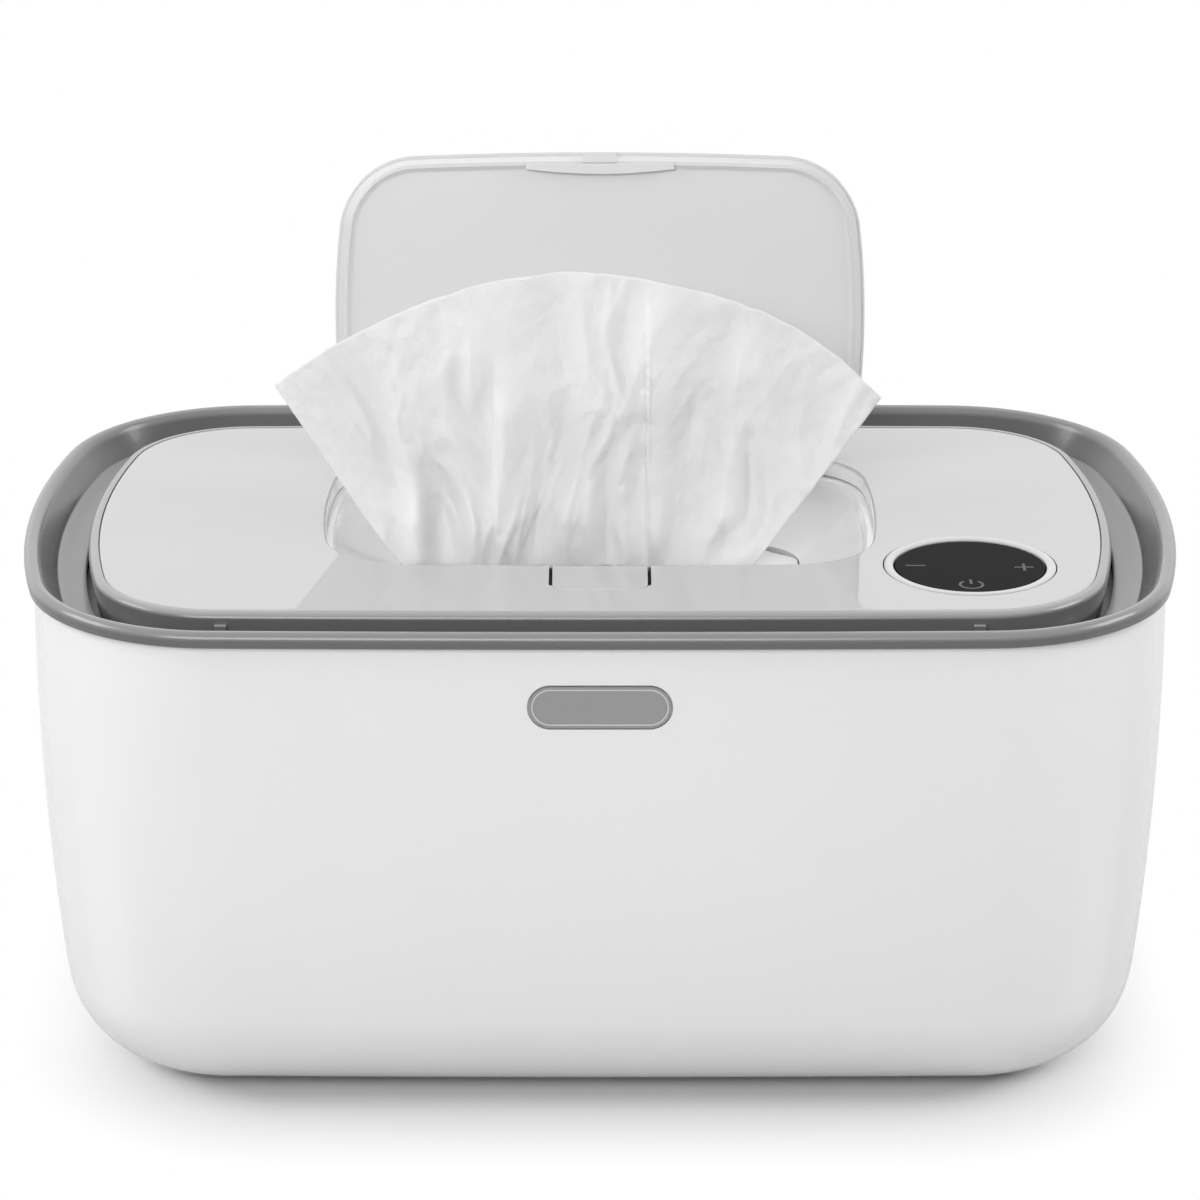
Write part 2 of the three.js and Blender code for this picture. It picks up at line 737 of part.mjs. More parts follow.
// Power board on its posts
place('power_board', block(-powerBoardWidth / 2, powerBoardWidth / 2, powerBoardY - powerBoardDepth / 2,
  powerBoardY + powerBoardDepth / 2, boardLevel, boardTop), boardGreen);
place('board_capacitor', crossRod(capacitorRadius, -capacitorLength, 0, powerBoardY,
  partsLevel + capacitorRadius), blackPlastic);
const terminalY = powerBoardY + powerBoardDepth / 2 - terminalDepth;
place('board_terminal', block(-terminalWidth / 2, terminalWidth / 2, terminalY, terminalY + terminalDepth,
  partsLevel, partsLevel + terminalHeight), whiteSatin);

// Power inlet: a threaded barrel socket through the rear wall, held by a nut inside
const flangeLow = seatGap;
const flangeHigh = flangeLow + inletFlangeThick;
const inletSocket = turned([
  [0, flangeHigh], [inletPin, flangeHigh - seatGap],
  [inletPin, flangeHigh - inletBoreDepth], [inletBore, flangeHigh - inletBoreDepth],
  [inletBore, flangeHigh], [inletFlangeRadius, flangeHigh],
  [inletFlangeRadius, flangeLow], [inletThread, flangeLow],
  [inletThread, flangeLow - inletLength], [0, flangeLow - inletLength],
]);
const nut = shaped(
  upright(inletThread + nutWall, 0, 0, -shellWall - swingGap - nutThick, -shellWall - swingGap, nutSides), [],
  [upright(inletThread + seatGap, 0, 0, -inletLength, 0)],
);
place('power_inlet', atInlet(inletSocket), blackPlastic);
place('inlet_nut', atInlet(nut), steel);

// Leads inside the base: inlet to board, and board up the rear wall to the hinge
const inletEndY = inletY - (inletLength - flangeLow) * Math.cos(inletTilt) - leadRadius;
const inletEndZ = inletLevel + (inletLength - flangeLow) * Math.sin(inletTilt);
const terminalBack = terminalY + terminalDepth + seatGap;
const leadLevel = partsLevel + leadRadius + seatGap;
place('inlet_lead', lead([
  [0, inletEndY, inletEndZ], [0, inletEndY - 2 * leadRadius, inletEndZ - leadRadius],
  [0, inletEndY - 5 * leadRadius, inletEndZ - 7 * leadRadius],
  [0, terminalBack + 8 * leadRadius, leadLevel + 2 * leadRadius], [0, terminalBack, leadLevel],
]), blackPlastic);
const riseY = halfDepth - shellInsetAt(inletLevel, shellWall) - 3 * leadRadius;
const riseX = hingeSpots[1] - 4 * leadRadius;
place('lid_lead_lower', lead([
  [powerBoardWidth / 4, terminalBack, leadLevel],
  [powerBoardWidth / 3, terminalBack + 8 * leadRadius, leadLevel],
  [riseX - 8 * leadRadius, riseY - 12 * leadRadius, leadLevel + 6 * leadRadius],
  [riseX, riseY - leadRadius, leadLevel + 18 * leadRadius],
  [riseX, riseY, shellWidestLevel / 2], [riseX, riseY, gutterLevel - collarWall - seatGap - leadRadius],
]), blackPlastic);

// Lid frame: light ring round the cover, skirt, inner ledge, hinge lugs and two front ribs
const innerLedge = coverInset - seatGap + frameLedge;
const ledgeTop = coverUnder - seatGap;
const frameRings = [
  rim(lidInset + skirtDraft, skirtBottom),
  rim(lidInset, lidTop - ringEdge - skirtWall),
  rim(lidInset, lidTop - ringEdge),
  rim(lidInset + ringEdge / 3, lidTop - ringEdge / 3),
  rim(lidInset + ringEdge, lidTop),
  rim(coverInset - seatGap, lidTop),
  rim(coverInset - seatGap, ledgeTop),
  rim(innerLedge, ledgeTop),
  rim(innerLedge, ledgeTop - ledgeThick),
  rim(lidInset + skirtWall + skirtDraft / 2, ledgeTop - ledgeThick),
  rim(lidInset + skirtWall + skirtDraft, skirtBottom),
];
const frameJoins = [];
const frameCuts = [];
const lidPinReach = armWidth / 2 + swingGap + lugWidth;
for (const x of hingeSpots) {
  for (const side of [-1, 1]) {
    const inner = x + side * (armWidth / 2 + swingGap);
    const [x0, x1] = [inner, inner + side * lugWidth].sort((a, b) => a - b);
    frameJoins.push(crossRod(lidKnuckle, x0, x1, lidAxisY, lidAxisZ));
    frameJoins.push(block(x0, x1, lidAxisY - lidKnuckle, lidAxisY + lidKnuckle / 2, lidAxisZ, ledgeTop));
  }
  frameCuts.push(block(x - armWidth / 2 - swingGap, x + armWidth / 2 + swingGap,
    halfDepth - innerLedge - cutOver, halfDepth, skirtBottom - cutOver, lidAxisZ + lidKnuckle + swingGap));
  frameCuts.push(crossRod(lidPin + seatGap, x - lidPinReach - cutOver, x + lidPinReach + cutOver,
    lidAxisY, lidAxisZ));
}
const ribTop = lidTop - ribDepth;
const skirtMiddleInset = lidInset + skirtDraft / 2;
for (const x of [ribEndInset - halfWidth, halfWidth - ribEndInset]) {
  frameJoins.push(block(x - ribWidth / 2, x + ribWidth / 2, frontAt(rim(lidInset, ribTop), x) - ribProud,
    frontAt(rim(skirtMiddleInset + skirtWall / 2, ribTop), x), skirtBottom + ribWidth, ribTop));
}
place('lid_frame', shaped(skin(frameRings, false), frameJoins, frameCuts), lightGrey, lid);

// Lid cover: white top plate with the well's wall, the hinge ears of the flap and the screw bosses
const tabHalf = tabWidth / 2;
const tabBack = wellFront - seatGap;
const tabFront = tabBack - tabLength;
function tabShape(half, front, back, radius) {
  const shape = new THREE.Shape();
  shape.moveTo(half, back);
  shape.lineTo(-half, back);
  shape.lineTo(-half, front + radius);
  shape.absarc(-half + radius, front + radius, radius, Math.PI, 3 * Math.PI / 2, false);
  shape.absarc(half - radius, front + radius, radius, 3 * Math.PI / 2, 2 * Math.PI, false);
  return shape;
}
function plate(shape, z0, z1, steps = 4) {
  const geometry = new THREE.ExtrudeGeometry(shape, {
    depth: z1 - z0, bevelEnabled: false, curveSegments: steps,
  });
  return geometry.translate(0, 0, z0);
}
const coverRings = [
  rim(coverInset, coverUnder),
  rim(coverInset, lidTop - coverEdge),
  rim(coverInset + coverEdge, lidTop),
  well(-coverEdge, lidTop),
  well(0, lidTop - coverEdge),
  well(0, lidTop - wellWallDepth),
  well(-wellWall, lidTop - wellWallDepth),
  well(-wellWall, coverUnder),
];
const earSpots = [-earX, earX];
const lidScrewSpots = fourSpots(halfWidth - lidScrewEndInset, halfDepth - lidScrewInset);
const bossBottom = panTop + seatGap;
const coverJoins = [];
const coverCuts = [
  upright(lensRadius + bezelWidth + 2 * seatGap, panelX, panelY, coverUnder - cutOver, lidTop + cutOver,
    2 * roundSteps),
  plate(tabShape(tabHalf + tabSlit, tabFront - seatGap, wellFront + wellLedge, tabCornerRadius + tabSlit),
    lidTop - wellWallDepth - cutOver, lidTop + cutOver),
];
for (const x of earSpots) {
  const [x0, x1] = [x - flapEarWidth / 2, x + flapEarWidth / 2];
  coverJoins.push(crossRod(flapKnuckle, x0, x1, flapAxisY, flapAxisZ));
  coverJoins.push(block(x0, x1, flapAxisY, wellBack + wellWall / 2, flapAxisZ - flapKnuckle,
    flapAxisZ + flapKnuckle / 2));
}
for (const [x, y] of lidScrewSpots) {
  coverJoins.push(upright(bossRadius, x, y, bossBottom, lidTop - coverThick / 2, smallSteps));
  coverCuts.push(upright(screwShankRadius + seatGap, x, y, bossBottom - cutOver, coverUnder, smallSteps));
}
coverCuts.push(crossRod(flapPin + seatGap, -flapPinReach, flapPinReach, flapAxisY, flapAxisZ));
place('lid_cover', shaped(skin(coverRings, false), coverJoins, coverCuts), whiteGloss, lid);

// Dispenser insert: the ledge that the flap seals on and the funnel down to the oval slot
const funnelTop = well(wellLedge + wellStepDraft, stepLevel);
const funnelFoot = slot(0, slotLevel);
const insertRings = [
  well(seatGap - wellWall, wellLevel),
  well(wellLedge, wellLevel),
  funnelTop,
  blendRings(funnelTop, funnelFoot, ...funnelShares),
  funnelFoot,
  slot(0, slotLevel - slotLip),
  slot(-insertWall, slotLevel - slotLip),
  slot(-insertWall, slotLevel - insertWall / 2),
  well(wellLedge - insertWall / 4, stepLevel - insertWall),
  well(wellLedge - insertWall, wellLevel - insertWall),
  well(seatGap - wellWall, wellLevel - insertWall),
];
const pocketLevel = wellLevel - wellStep + seatGap;
const latchPocket = block(-pocketWidth / 2, pocketWidth / 2, wellFront - wellWall - cutOver,
  wellFront + wellLedge + wellStepDraft, pocketLevel, wellLevel + cutOver);
place('dispenser_insert', shaped(skin(insertRings, false), [], [latchPocket]), whiteGloss, lid);

// Lid pan with its gasket, screws and pins
const panShare = (stepLevel - insertWall - panTop) / (stepLevel - slotLevel - insertWall / 2);
const slotFront = slotOffset - slotDepth / 2;
const slotBack = slotOffset + slotDepth / 2;
const slotMargin = Math.min(slotEndInset, slotFront - wellFront, wellBack - slotBack);
const funnelInset = THREE.MathUtils.lerp(wellLedge - insertWall / 4, slotMargin - insertWall, panShare);
const panHoleInset = funnelInset - swingGap - seatGap;
const panRings = [
  rim(panInset, panBottom), rim(panInset, panTop),
  well(panHoleInset, panTop), well(panHoleInset, panBottom),
];
const panCuts = lidScrewSpots.map(([x, y]) => upright(screwShankRadius + seatGap, x, y,
  panBottom - cutOver, panTop + cutOver, smallSteps));
place('lid_pan', shaped(skin(panRings, false), [], panCuts), whiteSatin, lid);
place('lid_gasket', skin([
  rim(gasketInset, tankTop + seatGap), rim(gasketInset, panBottom - seatGap),
  rim(gasketInset + gasketWidth, panBottom - seatGap), rim(gasketInset + gasketWidth, tankTop + seatGap),
], false), silicone, lid);
lidScrewSpots.forEach(([x, y], i) => {
  const under = panBottom - seatGap - screwHeadHeight;
  place(`lid_screw_${i + 1}`, screw(x, y, under, lidScrewLength, false), steel, lid);
});
hingeSpots.forEach((x, i) => {
  const pin = crossRod(lidPin, x - lidPinReach, x + lidPinReach, lidAxisY, lidAxisZ);
  place(`lid_hinge_pin_${i + 1}`, pin, steel, lid);
});

// Touch panel: dark lens in a raised bezel, light guide and board under it
const lensTop = lidTop - seatGap / 2;
const lensLow = lensTop - lensThick;
const bezelInner = lensRadius + seatGap;
const bezelOuter = bezelInner + bezelWidth;
const bezelTop = lidTop + bezelProud;
place('touch_lens', upright(lensRadius, panelX, panelY, lensLow, lensTop, 2 * roundSteps), blackGlass, lid);
place('panel_bezel', turned([
  [bezelInner, lensLow], [bezelOuter, lensLow], [bezelOuter, bezelTop - bezelProud],
  [bezelOuter - bezelWidth / 4, bezelTop], [bezelInner + bezelWidth / 4, bezelTop],
  [bezelInner, bezelTop - bezelProud], [bezelInner, lensLow],
], 2 * roundSteps).translate(panelX, panelY, 0), lightGrey, lid);
const panelBoardLevel = panTop + seatGap;
const guideLevel = panelBoardLevel + boardThick + seatGap;
place('panel_light_guide', upright(guideRadius, panelX, panelY, guideLevel, lensLow - seatGap),
  whiteSatin, lid);
const panelBoardRadius = guideRadius + boardMargin;
place('panel_board', upright(panelBoardRadius, panelX, panelY, panelBoardLevel,
  panelBoardLevel + boardThick), boardGreen, lid);
const upperLeadLevel = panTop + seatGap + leadRadius;
place('lid_lead_upper', lead([
  [panelX, panelY + panelBoardRadius + seatGap, upperLeadLevel],
  [panelX, panelY + 2 * panelBoardRadius, upperLeadLevel],
  [panelX - 2 * leadRadius, lidAxisY / 2, upperLeadLevel],
  [riseX + 4 * leadRadius, lidAxisY - 12 * leadRadius, upperLeadLevel],
  [riseX, lidAxisY - 3 * leadRadius, upperLeadLevel],
]), blackPlastic, lid);

// Latch tab: turns about its front edge and holds the flap with a nose
place('latch_tab', shaped(
  plate(tabShape(tabHalf, tabFront, tabBack, tabCornerRadius), lidTop - tabThick, lidTop),
  [block(-noseWidth / 2, noseWidth / 2, tabBack - noseDepth, tabBack, lidTop - tabThick - noseHeight,
    lidTop - tabThick / 2)], [],
), whiteGloss, lid);

// Flap hinge: pin through two ears, with a torsion spring between them
place('flap_hinge_pin', crossRod(flapPin, -flapPinReach, flapPinReach, flapAxisY, flapAxisZ), steel, lid);
const springRing = turned([
  [flapPin + seatGap, -flapSpringWidth / 2], [flapKnuckle, -flapSpringWidth / 2],
  [flapKnuckle, flapSpringWidth / 2], [flapPin + seatGap, flapSpringWidth / 2],
  [flapPin + seatGap, -flapSpringWidth / 2],
], smallSteps).rotateY(Math.PI / 2).translate(0, flapAxisY, flapAxisZ);
place('flap_spring', springRing, steel, lid);

// Flap, drawn shut and then turned open about its pin
flap.position.set(0, flapAxisY, flapAxisZ);
flap.rotation.x = -THREE.MathUtils.degToRad(flapOpenAngle);
function onFlap(geometry) {
  return geometry.translate(0, -flapAxisY, -flapAxisZ);
}
function flapRing(inset, drop) {
  return well(flapGap + inset, lidTop - drop);
}
const earNotch = flapEarWidth / 2 + swingGap;
const springNotch = flapSpringWidth / 2 + swingGap;
const notchFront = flapAxisY - flapKnuckle - swingGap;
const notches = [[-springNotch, springNotch], ...earSpots.map((x) => [x - earNotch, x + earNotch])].map(
  ([x0, x1]) => block(x0, x1, notchFront, wellBack + cutOver, wellLevel, lidTop + cutOver));
const reliefFront = flapAxisY - flapBehind - flapReliefGap;
const reliefs = [-1, 1].map((side) => block(
  ...[side * (flapPinReach + seatGap), side * wellWidth / 2].sort((a, b) => a - b),
  reliefFront, wellBack + cutOver, wellLevel, lidTop + cutOver,
));
const flapKnuckles = [];
for (const x of earSpots) {
  for (const side of [-1, 1]) {
    const inner = x + side * earNotch;
    const [x0, x1] = [inner, inner + side * flapKnuckleWidth].sort((a, b) => a - b);
    flapKnuckles.push(crossRod(flapKnuckle, x0, x1, flapAxisY, flapAxisZ));
  }
}
const pinBore = crossRod(flapPin + seatGap, -wellWidth / 2, wellWidth / 2, flapAxisY, flapAxisZ);
place('flap_shell', onFlap(shaped(
  skin([flapRing(0, flapThick), flapRing(0, flapEdge), flapRing(flapEdge, 0)], true),
  flapKnuckles, [pinBore, ...notches, ...reliefs],
)), whiteGloss, flap);

const linerTop = flapThick + seatGap;
const ringDrop = linerTop + linerRingDepth;
const hingeCut = block(-wellWidth / 2, wellWidth / 2, notchFront, wellBack + cutOver, wellLevel,
  lidTop + cutOver);
const tongueTop = lidTop - tabThick - noseHeight - seatGap;
const flapFront = wellFront + flapGap;
const tongue = block(-tongueWidth / 2, tongueWidth / 2, flapFront - tongueReach, flapFront + linerRingInset,
  tongueTop - tongueThick, tongueTop);
const tongueRoot = block(-tongueWidth / 2, tongueWidth / 2, flapFront + linerInset,
  flapFront + linerRingInset, tongueTop - tongueThick, lidTop - linerTop - linerStep / 2);
const catchY = flapFront + catchInset;
const catchTop = lidTop - linerTop - linerPanel - seatGap;
const catchSeat = block(-catchWidth / 2 - seatGap, catchWidth / 2 + seatGap, catchY - seatGap,
  catchY + catchEnd + catchBow + seatGap, lidTop - ringDrop - cutOver, catchTop + seatGap);
place('flap_liner', onFlap(shaped(
  skin([
    flapRing(linerInset, linerTop), flapRing(linerInset, linerTop + linerStep),
    flapRing(linerRingInset, linerTop + linerStep), flapRing(linerRingInset, ringDrop),
    flapRing(linerRingInset + linerRingWidth, ringDrop),
    flapRing(linerRingInset + linerRingWidth + linerDraft, linerTop + linerPanel),
  ], true), [tongue, tongueRoot], [hingeCut, catchSeat],
)), whiteSatin, flap);
const sealTop = ringDrop + seatGap;
place('flap_seal', onFlap(skin([
  flapRing(sealInset, sealTop + sealThick), flapRing(sealInset, sealTop),
  flapRing(sealInset + sealWidth, sealTop), flapRing(sealInset + sealWidth, sealTop + sealThick),
], false)), silicone, flap);

const catchShape = new THREE.Shape();
catchShape.moveTo(-catchWidth / 2, catchY);
catchShape.lineTo(catchWidth / 2, catchY);
catchShape.lineTo(catchWidth / 2, catchY + catchEnd);
catchShape.quadraticCurveTo(0, catchY + catchEnd + 2 * catchBow, -catchWidth / 2, catchY + catchEnd);
place('flap_catch', onFlap(plate(catchShape, lidTop - ringDrop, catchTop, smallSteps)), whiteGloss, flap);

// Pulled wipe: a fan of thin cloth with its main folds, gathered in the slot
const wipeColumns = 34;
const wipeRows = 6;
const wipeCentreLevel = slotLevel - wipeCentreDrop;
const wipeLeftAngle = Math.atan((wipeLeftGap - slotWidth / 2 - wipeCentreX) / wipeCentreDrop);
const wipeRightAngle = Math.atan((slotWidth / 2 - wipeRightGap - wipeCentreX) / wipeCentreDrop);
function wipePoint(across, up, side) {
  const angle = THREE.MathUtils.lerp(wipeLeftAngle, wipeRightAngle, across);
  const crown = wipeCrownShares[0] + wipeCrownShares[1] * across;
  const outer = wipeRadius + wipeCrown * Math.sin(Math.PI * across) * crown;
  const radius = THREE.MathUtils.lerp(wipeTailRadius, outer, up);
  const depth = THREE.MathUtils.lerp(wipeFoldDeep, wipeFoldShallow, up);
  const phase = 2 * Math.PI * wipePleats * across;
  const fold = depth * (wipePleatShares[0] * Math.cos(phase) + wipePleatShares[1] * Math.sin(phase / 2));
  const level = wipeCentreLevel + radius * Math.cos(angle);
  return new THREE.Vector3(
    wipeCentreX + radius * Math.sin(angle),
    slotOffset - wipeForward + wipeLean * (level - slotLevel) + fold + side * wipeThick / 2,
    level,
  );
}
const wipePoints = [];
const wipeFaces = [];
for (const side of [-1, 1]) {
  for (let row = 0; row <= wipeRows; row++) {
    for (let column = 0; column <= wipeColumns; column++) {
      wipePoints.push(wipePoint(column / wipeColumns, row / wipeRows, side));
    }
  }
}
const sheetCount = (wipeRows + 1) * (wipeColumns + 1);
function wipeIndex(back, row, column) {
  return back * sheetCount + row * (wipeColumns + 1) + column;
}
function wipeQuad(a, b, c, d) {
  wipeFaces.push(a, b, c, a, c, d);
}
for (let row = 0; row < wipeRows; row++) {
  for (let column = 0; column < wipeColumns; column++) {
    const corners = [[row, column], [row, column + 1], [row + 1, column + 1], [row + 1, column]];
    wipeQuad(...corners.map(([r, c]) => wipeIndex(0, r, c)));
    wipeQuad(...corners.slice().reverse().map(([r, c]) => wipeIndex(1, r, c)));
  }
  wipeQuad(wipeIndex(0, row, 0), wipeIndex(0, row + 1, 0), wipeIndex(1, row + 1, 0), wipeIndex(1, row, 0));
  wipeQuad(wipeIndex(0, row + 1, wipeColumns), wipeIndex(0, row, wipeColumns),
    wipeIndex(1, row, wipeColumns), wipeIndex(1, row + 1, wipeColumns));
}
for (let column = 0; column < wipeColumns; column++) {
  wipeQuad(wipeIndex(0, 0, column + 1), wipeIndex(0, 0, column),
    wipeIndex(1, 0, column), wipeIndex(1, 0, column + 1));
  wipeQuad(wipeIndex(0, wipeRows, column), wipeIndex(0, wipeRows, column + 1),
    wipeIndex(1, wipeRows, column + 1), wipeIndex(1, wipeRows, column));
}
place('wipe_sheet', faced(wipePoints, wipeFaces), clothWhite, lid);

export default warmer;
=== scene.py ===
import math

import bmesh
import bpy
from mathutils import Matrix, Vector, noise


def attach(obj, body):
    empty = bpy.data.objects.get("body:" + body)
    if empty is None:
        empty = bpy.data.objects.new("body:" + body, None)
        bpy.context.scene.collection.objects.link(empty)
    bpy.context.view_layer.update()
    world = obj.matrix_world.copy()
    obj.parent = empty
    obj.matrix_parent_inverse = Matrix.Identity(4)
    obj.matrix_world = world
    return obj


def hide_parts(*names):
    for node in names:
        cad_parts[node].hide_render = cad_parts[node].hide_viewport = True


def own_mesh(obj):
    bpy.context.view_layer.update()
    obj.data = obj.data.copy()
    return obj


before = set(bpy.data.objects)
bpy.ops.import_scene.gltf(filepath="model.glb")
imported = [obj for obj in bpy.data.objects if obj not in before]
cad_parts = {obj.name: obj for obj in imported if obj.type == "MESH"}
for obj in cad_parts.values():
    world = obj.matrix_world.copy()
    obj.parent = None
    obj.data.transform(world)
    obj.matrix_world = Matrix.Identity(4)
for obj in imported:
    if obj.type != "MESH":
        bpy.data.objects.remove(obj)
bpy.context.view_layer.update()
scene = bpy.context.scene
scene.view_settings.view_transform = "Standard"
MM = 0.001

# Camera, set up in front of the warmer and a little above its rim,
# looking slightly down on the lid.


def placed(name, data):
    """A new object with this data, in the scene."""
    obj = bpy.data.objects.new(name, data)
    scene.collection.objects.link(obj)
    return obj


camera_data = bpy.data.cameras.new("camera")
camera_data.lens = 147.63
camera_data.sensor_width = 36
camera_data.clip_start = 0.05
camera_data.clip_end = 40
camera = placed("camera", camera_data)
camera.location = (0, -1.0674, 0.4888)
camera.rotation_euler = (math.radians(69.78), 0, 0)
scene.camera = camera

# Outer shell: one deep glossy white moulding with bulged walls that turn into a wide rounded bottom edge.
# Its top edge slips under the bead of the rim collar, and its flange below is screwed to the base plate.
RIM = dict(width=262, depth=162, corner=43.5, end=229, side=4600, shift=0)
RIM_HEIGHT = 117.4
HALF_DEPTH = RIM["depth"] / 2
END_STEPS, CORNER_STEPS, SIDE_STEPS = 10, 22, 12


def plan_outline(width, depth, corner, end, side, shift):
    """The plan of a ring in millimetres: end, corner and side arcs that run into each other, at an inset."""
    end_x, side_y = width / 2 - end, depth / 2 - side
    apart = math.hypot(end_x, side_y)
    along = ((end - corner) ** 2 - (side - corner) ** 2 + apart ** 2) / (2 * apart)
    across = math.sqrt((end - corner) ** 2 - along ** 2)
    ux, uy = -end_x / apart, side_y / apart
    places = [(end_x + ux * along - uy * s, uy * along + ux * s) for s in (across, -across)]
    corner_x, corner_y = max(places)
    end_angle = math.atan2(corner_y, corner_x - end_x)
    side_angle = math.atan2(corner_y - side_y, corner_x)
    arcs = [
        (end_x, 0, end, 0, end_angle, END_STEPS),
        (corner_x, corner_y, corner, end_angle, side_angle, CORNER_STEPS),
        (0, side_y, side, side_angle, math.pi / 2, SIDE_STEPS),
    ]

    def ring(inset, level):
        quarter = []
        for x, y, radius, first, last, steps in arcs:
            for i in range(steps):
                angle = first + (last - first) * i / steps
                quarter.append((x + (radius - inset) * math.cos(angle), y + (radius - inset) * math.sin(angle)))
        half = quarter + [(0, depth / 2 - inset)] + [(-x, y) for x, y in reversed(quarter)]
        whole = half + [(x, -y) for x, y in reversed(half[1:-1])]
        return [Vector((x, y + shift, level)) for x, y in whole]

    return ring


rim_ring = plan_outline(**RIM)


def arc_points(centre, radius, first, last, steps):
    """Points on an arc of a plane, in degrees from the plane's first direction."""
    angles = [math.radians(first + (last - first) * i / steps) for i in range(steps + 1)]
    return [(centre[0] + radius * math.cos(a), centre[1] + radius * math.sin(a)) for a in angles]


def drained(bm, name):
    """The mesh that a bmesh holds, which is then freed."""
    mesh = bpy.data.meshes.new(name)
    bm.to_mesh(mesh)
    bm.free()
    return mesh


def skin_mesh(name, rings, around=False, capped=False):
    """A mesh through rings of points in millimetres, closed on itself, or capped at its first and last ring."""
    bm = bmesh.new()
    rows = [[bm.verts.new(p * MM) for p in ring] for ring in rings]
    count = len(rows[0])
    pairs = list(zip(rows, rows[1:])) + ([(rows[-1], rows[0])] if around else [])
    for low, high in pairs:
        for i in range(count):
            j = (i + 1) % count
            bm.faces.new((low[i], low[j], high[j], high[i]))
    if capped:
        bm.faces.new(rows[0])
        bm.faces.new(rows[-1])
    bmesh.ops.recalc_face_normals(bm, faces=bm.faces)
    return drained(bm, name)


def piece(name, mesh, material, body, *nodes, slot=None):
    """A finished piece: it rides on a body and stands for CAD nodes."""
    obj = placed(name, mesh)
    mesh.materials.clear()
    mesh.materials.append(material)
    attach(obj, body)
    if nodes:
        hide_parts(*nodes)
    return obj


def plain_mesh(obj, name, *tools):
    """The plain mesh that an object's modifiers make; the object and the tools that they read are removed."""
    graph = bpy.context.evaluated_depsgraph_get()
    made = bpy.data.meshes.new_from_object(obj.evaluated_get(graph))
    made.name = name
    obj.modifiers.clear()
    for used in (obj, *tools):
        bpy.data.objects.remove(used)
    return made


def cut_mesh(mesh, cutters, joined=()):
    """The mesh with other meshes joined to it and cut out of it."""
    obj, tools = placed("work", mesh), []
    for operation, group in (("UNION", joined), ("DIFFERENCE", cutters)):
        for other in group:
            tools.append(placed("tool", other))
            modifier = obj.modifiers.new("cut", "BOOLEAN")
            modifier.operation, modifier.object, modifier.solver = operation, tools[-1], "EXACT"
    return plain_mesh(obj, mesh.name, *tools)


SHARP_EDGE, NEAR = math.radians(32), 2e-6


def smooth_faces(mesh, merge=0.0):
    """Smooth shading up to the sharp edges; faces that lie flat to each other, in degrees, can be merged first."""
    bm = bmesh.new()
    bm.from_mesh(mesh)
    bmesh.ops.remove_doubles(bm, verts=bm.verts, dist=NEAR)
    if merge:
        bmesh.ops.dissolve_limit(bm, angle_limit=math.radians(merge), verts=bm.verts, edges=bm.edges)
    for face in bm.faces:
        face.smooth = True
    for edge in bm.edges:
        edge.smooth = len(edge.link_faces) == 2 and edge.calc_face_angle(0) < SHARP_EDGE
    bm.to_mesh(mesh)
    bm.free()
    return mesh


def soften(mesh, merge=0.0):
    """Smooth shading in which large faces stay flat and the narrow ones between them turn."""
    obj = placed("work", smooth_faces(mesh, merge))
    weighted = obj.modifiers.new("weighted", "WEIGHTED_NORMAL")
    weighted.keep_sharp, weighted.weight = True, 100
    return plain_mesh(obj, mesh.name)


def rod(radius, start, end, sides=48):
    """A round rod between two points in millimetres."""
    start, end = Vector(start) * MM, Vector(end) * MM
    bm = bmesh.new()
    bmesh.ops.create_cone(
        bm, cap_ends=True, segments=sides, radius1=radius * MM, radius2=radius * MM, depth=(end - start).length
    )
    turn = (end - start).to_track_quat("Z", "Y").to_matrix().to_4x4()
    bm.transform(Matrix.Translation((start + end) / 2) @ turn)
    return drained(bm, "rod")


def brick(low, high):
    """A block between two corners in millimetres."""
    low, high = Vector(low) * MM, Vector(high) * MM
    bm = bmesh.new()
    place = Matrix.Translation((low + high) / 2) @ Matrix.Diagonal((*(high - low), 1))
    bmesh.ops.create_cube(bm, size=1, matrix=place)
    return drained(bm, "brick")


def pill_outline(width, height, steps=20):
    """A flat oval with straight long sides, as (x, z) points in millimetres."""
    right = arc_points(((width - height) / 2, 0), height / 2, -90, 90, steps)
    return right + [(-x, -z) for x, z in right]


def upright_skin(name, outlines, **ends):
    """A mesh on the front wall through outlines, each with its y in millimetres."""
    return skin_mesh(name, [[Vector((x, y, z)) for x, z in points] for y, points in outlines], **ends)


def feed(tree, node, inputs):
    """Gives each input of a node a value, or links it to another node's output."""
    for key, value in inputs.items():
        if isinstance(value, bpy.types.NodeSocket):
            tree.links.new(value, node.inputs[key])
        else:
            node.inputs[key].default_value = value


def wired(tree, kind, out=None, inputs=None, **settings):
    """A new node of the tree's own sort with its settings and inputs, or one of that node's outputs."""
    node = tree.nodes.new(tree.bl_idname.replace("Tree", kind))
    for name, value in settings.items():
        setattr(node, name, value)
    feed(tree, node, inputs or {})
    return node if out is None else node.outputs[out]


def sums(tree, operation, *values, **settings):
    """The result of a maths node on values or outputs."""
    return wired(tree, "Math", 0, dict(enumerate(values)), operation=operation, **settings)


def vectors(tree, operation, *values, out="Vector"):
    """The result of a vector maths node; to scale takes its share by name."""
    inputs = {0: values[0], "Scale": values[1]} if operation == "SCALE" else dict(enumerate(values))
    return wired(tree, "VectorMath", out, inputs, operation=operation)


def ramp(tree, value, first, last, low=0, high=1, kind="LINEAR"):
    """A value's way from first to last, as a value from low to high."""
    ends = {"From Min": first, "From Max": last, "To Min": low, "To Max": high}
    return wired(tree, "MapRange", "Result", {"Value": value, **ends}, interpolation_type=kind)


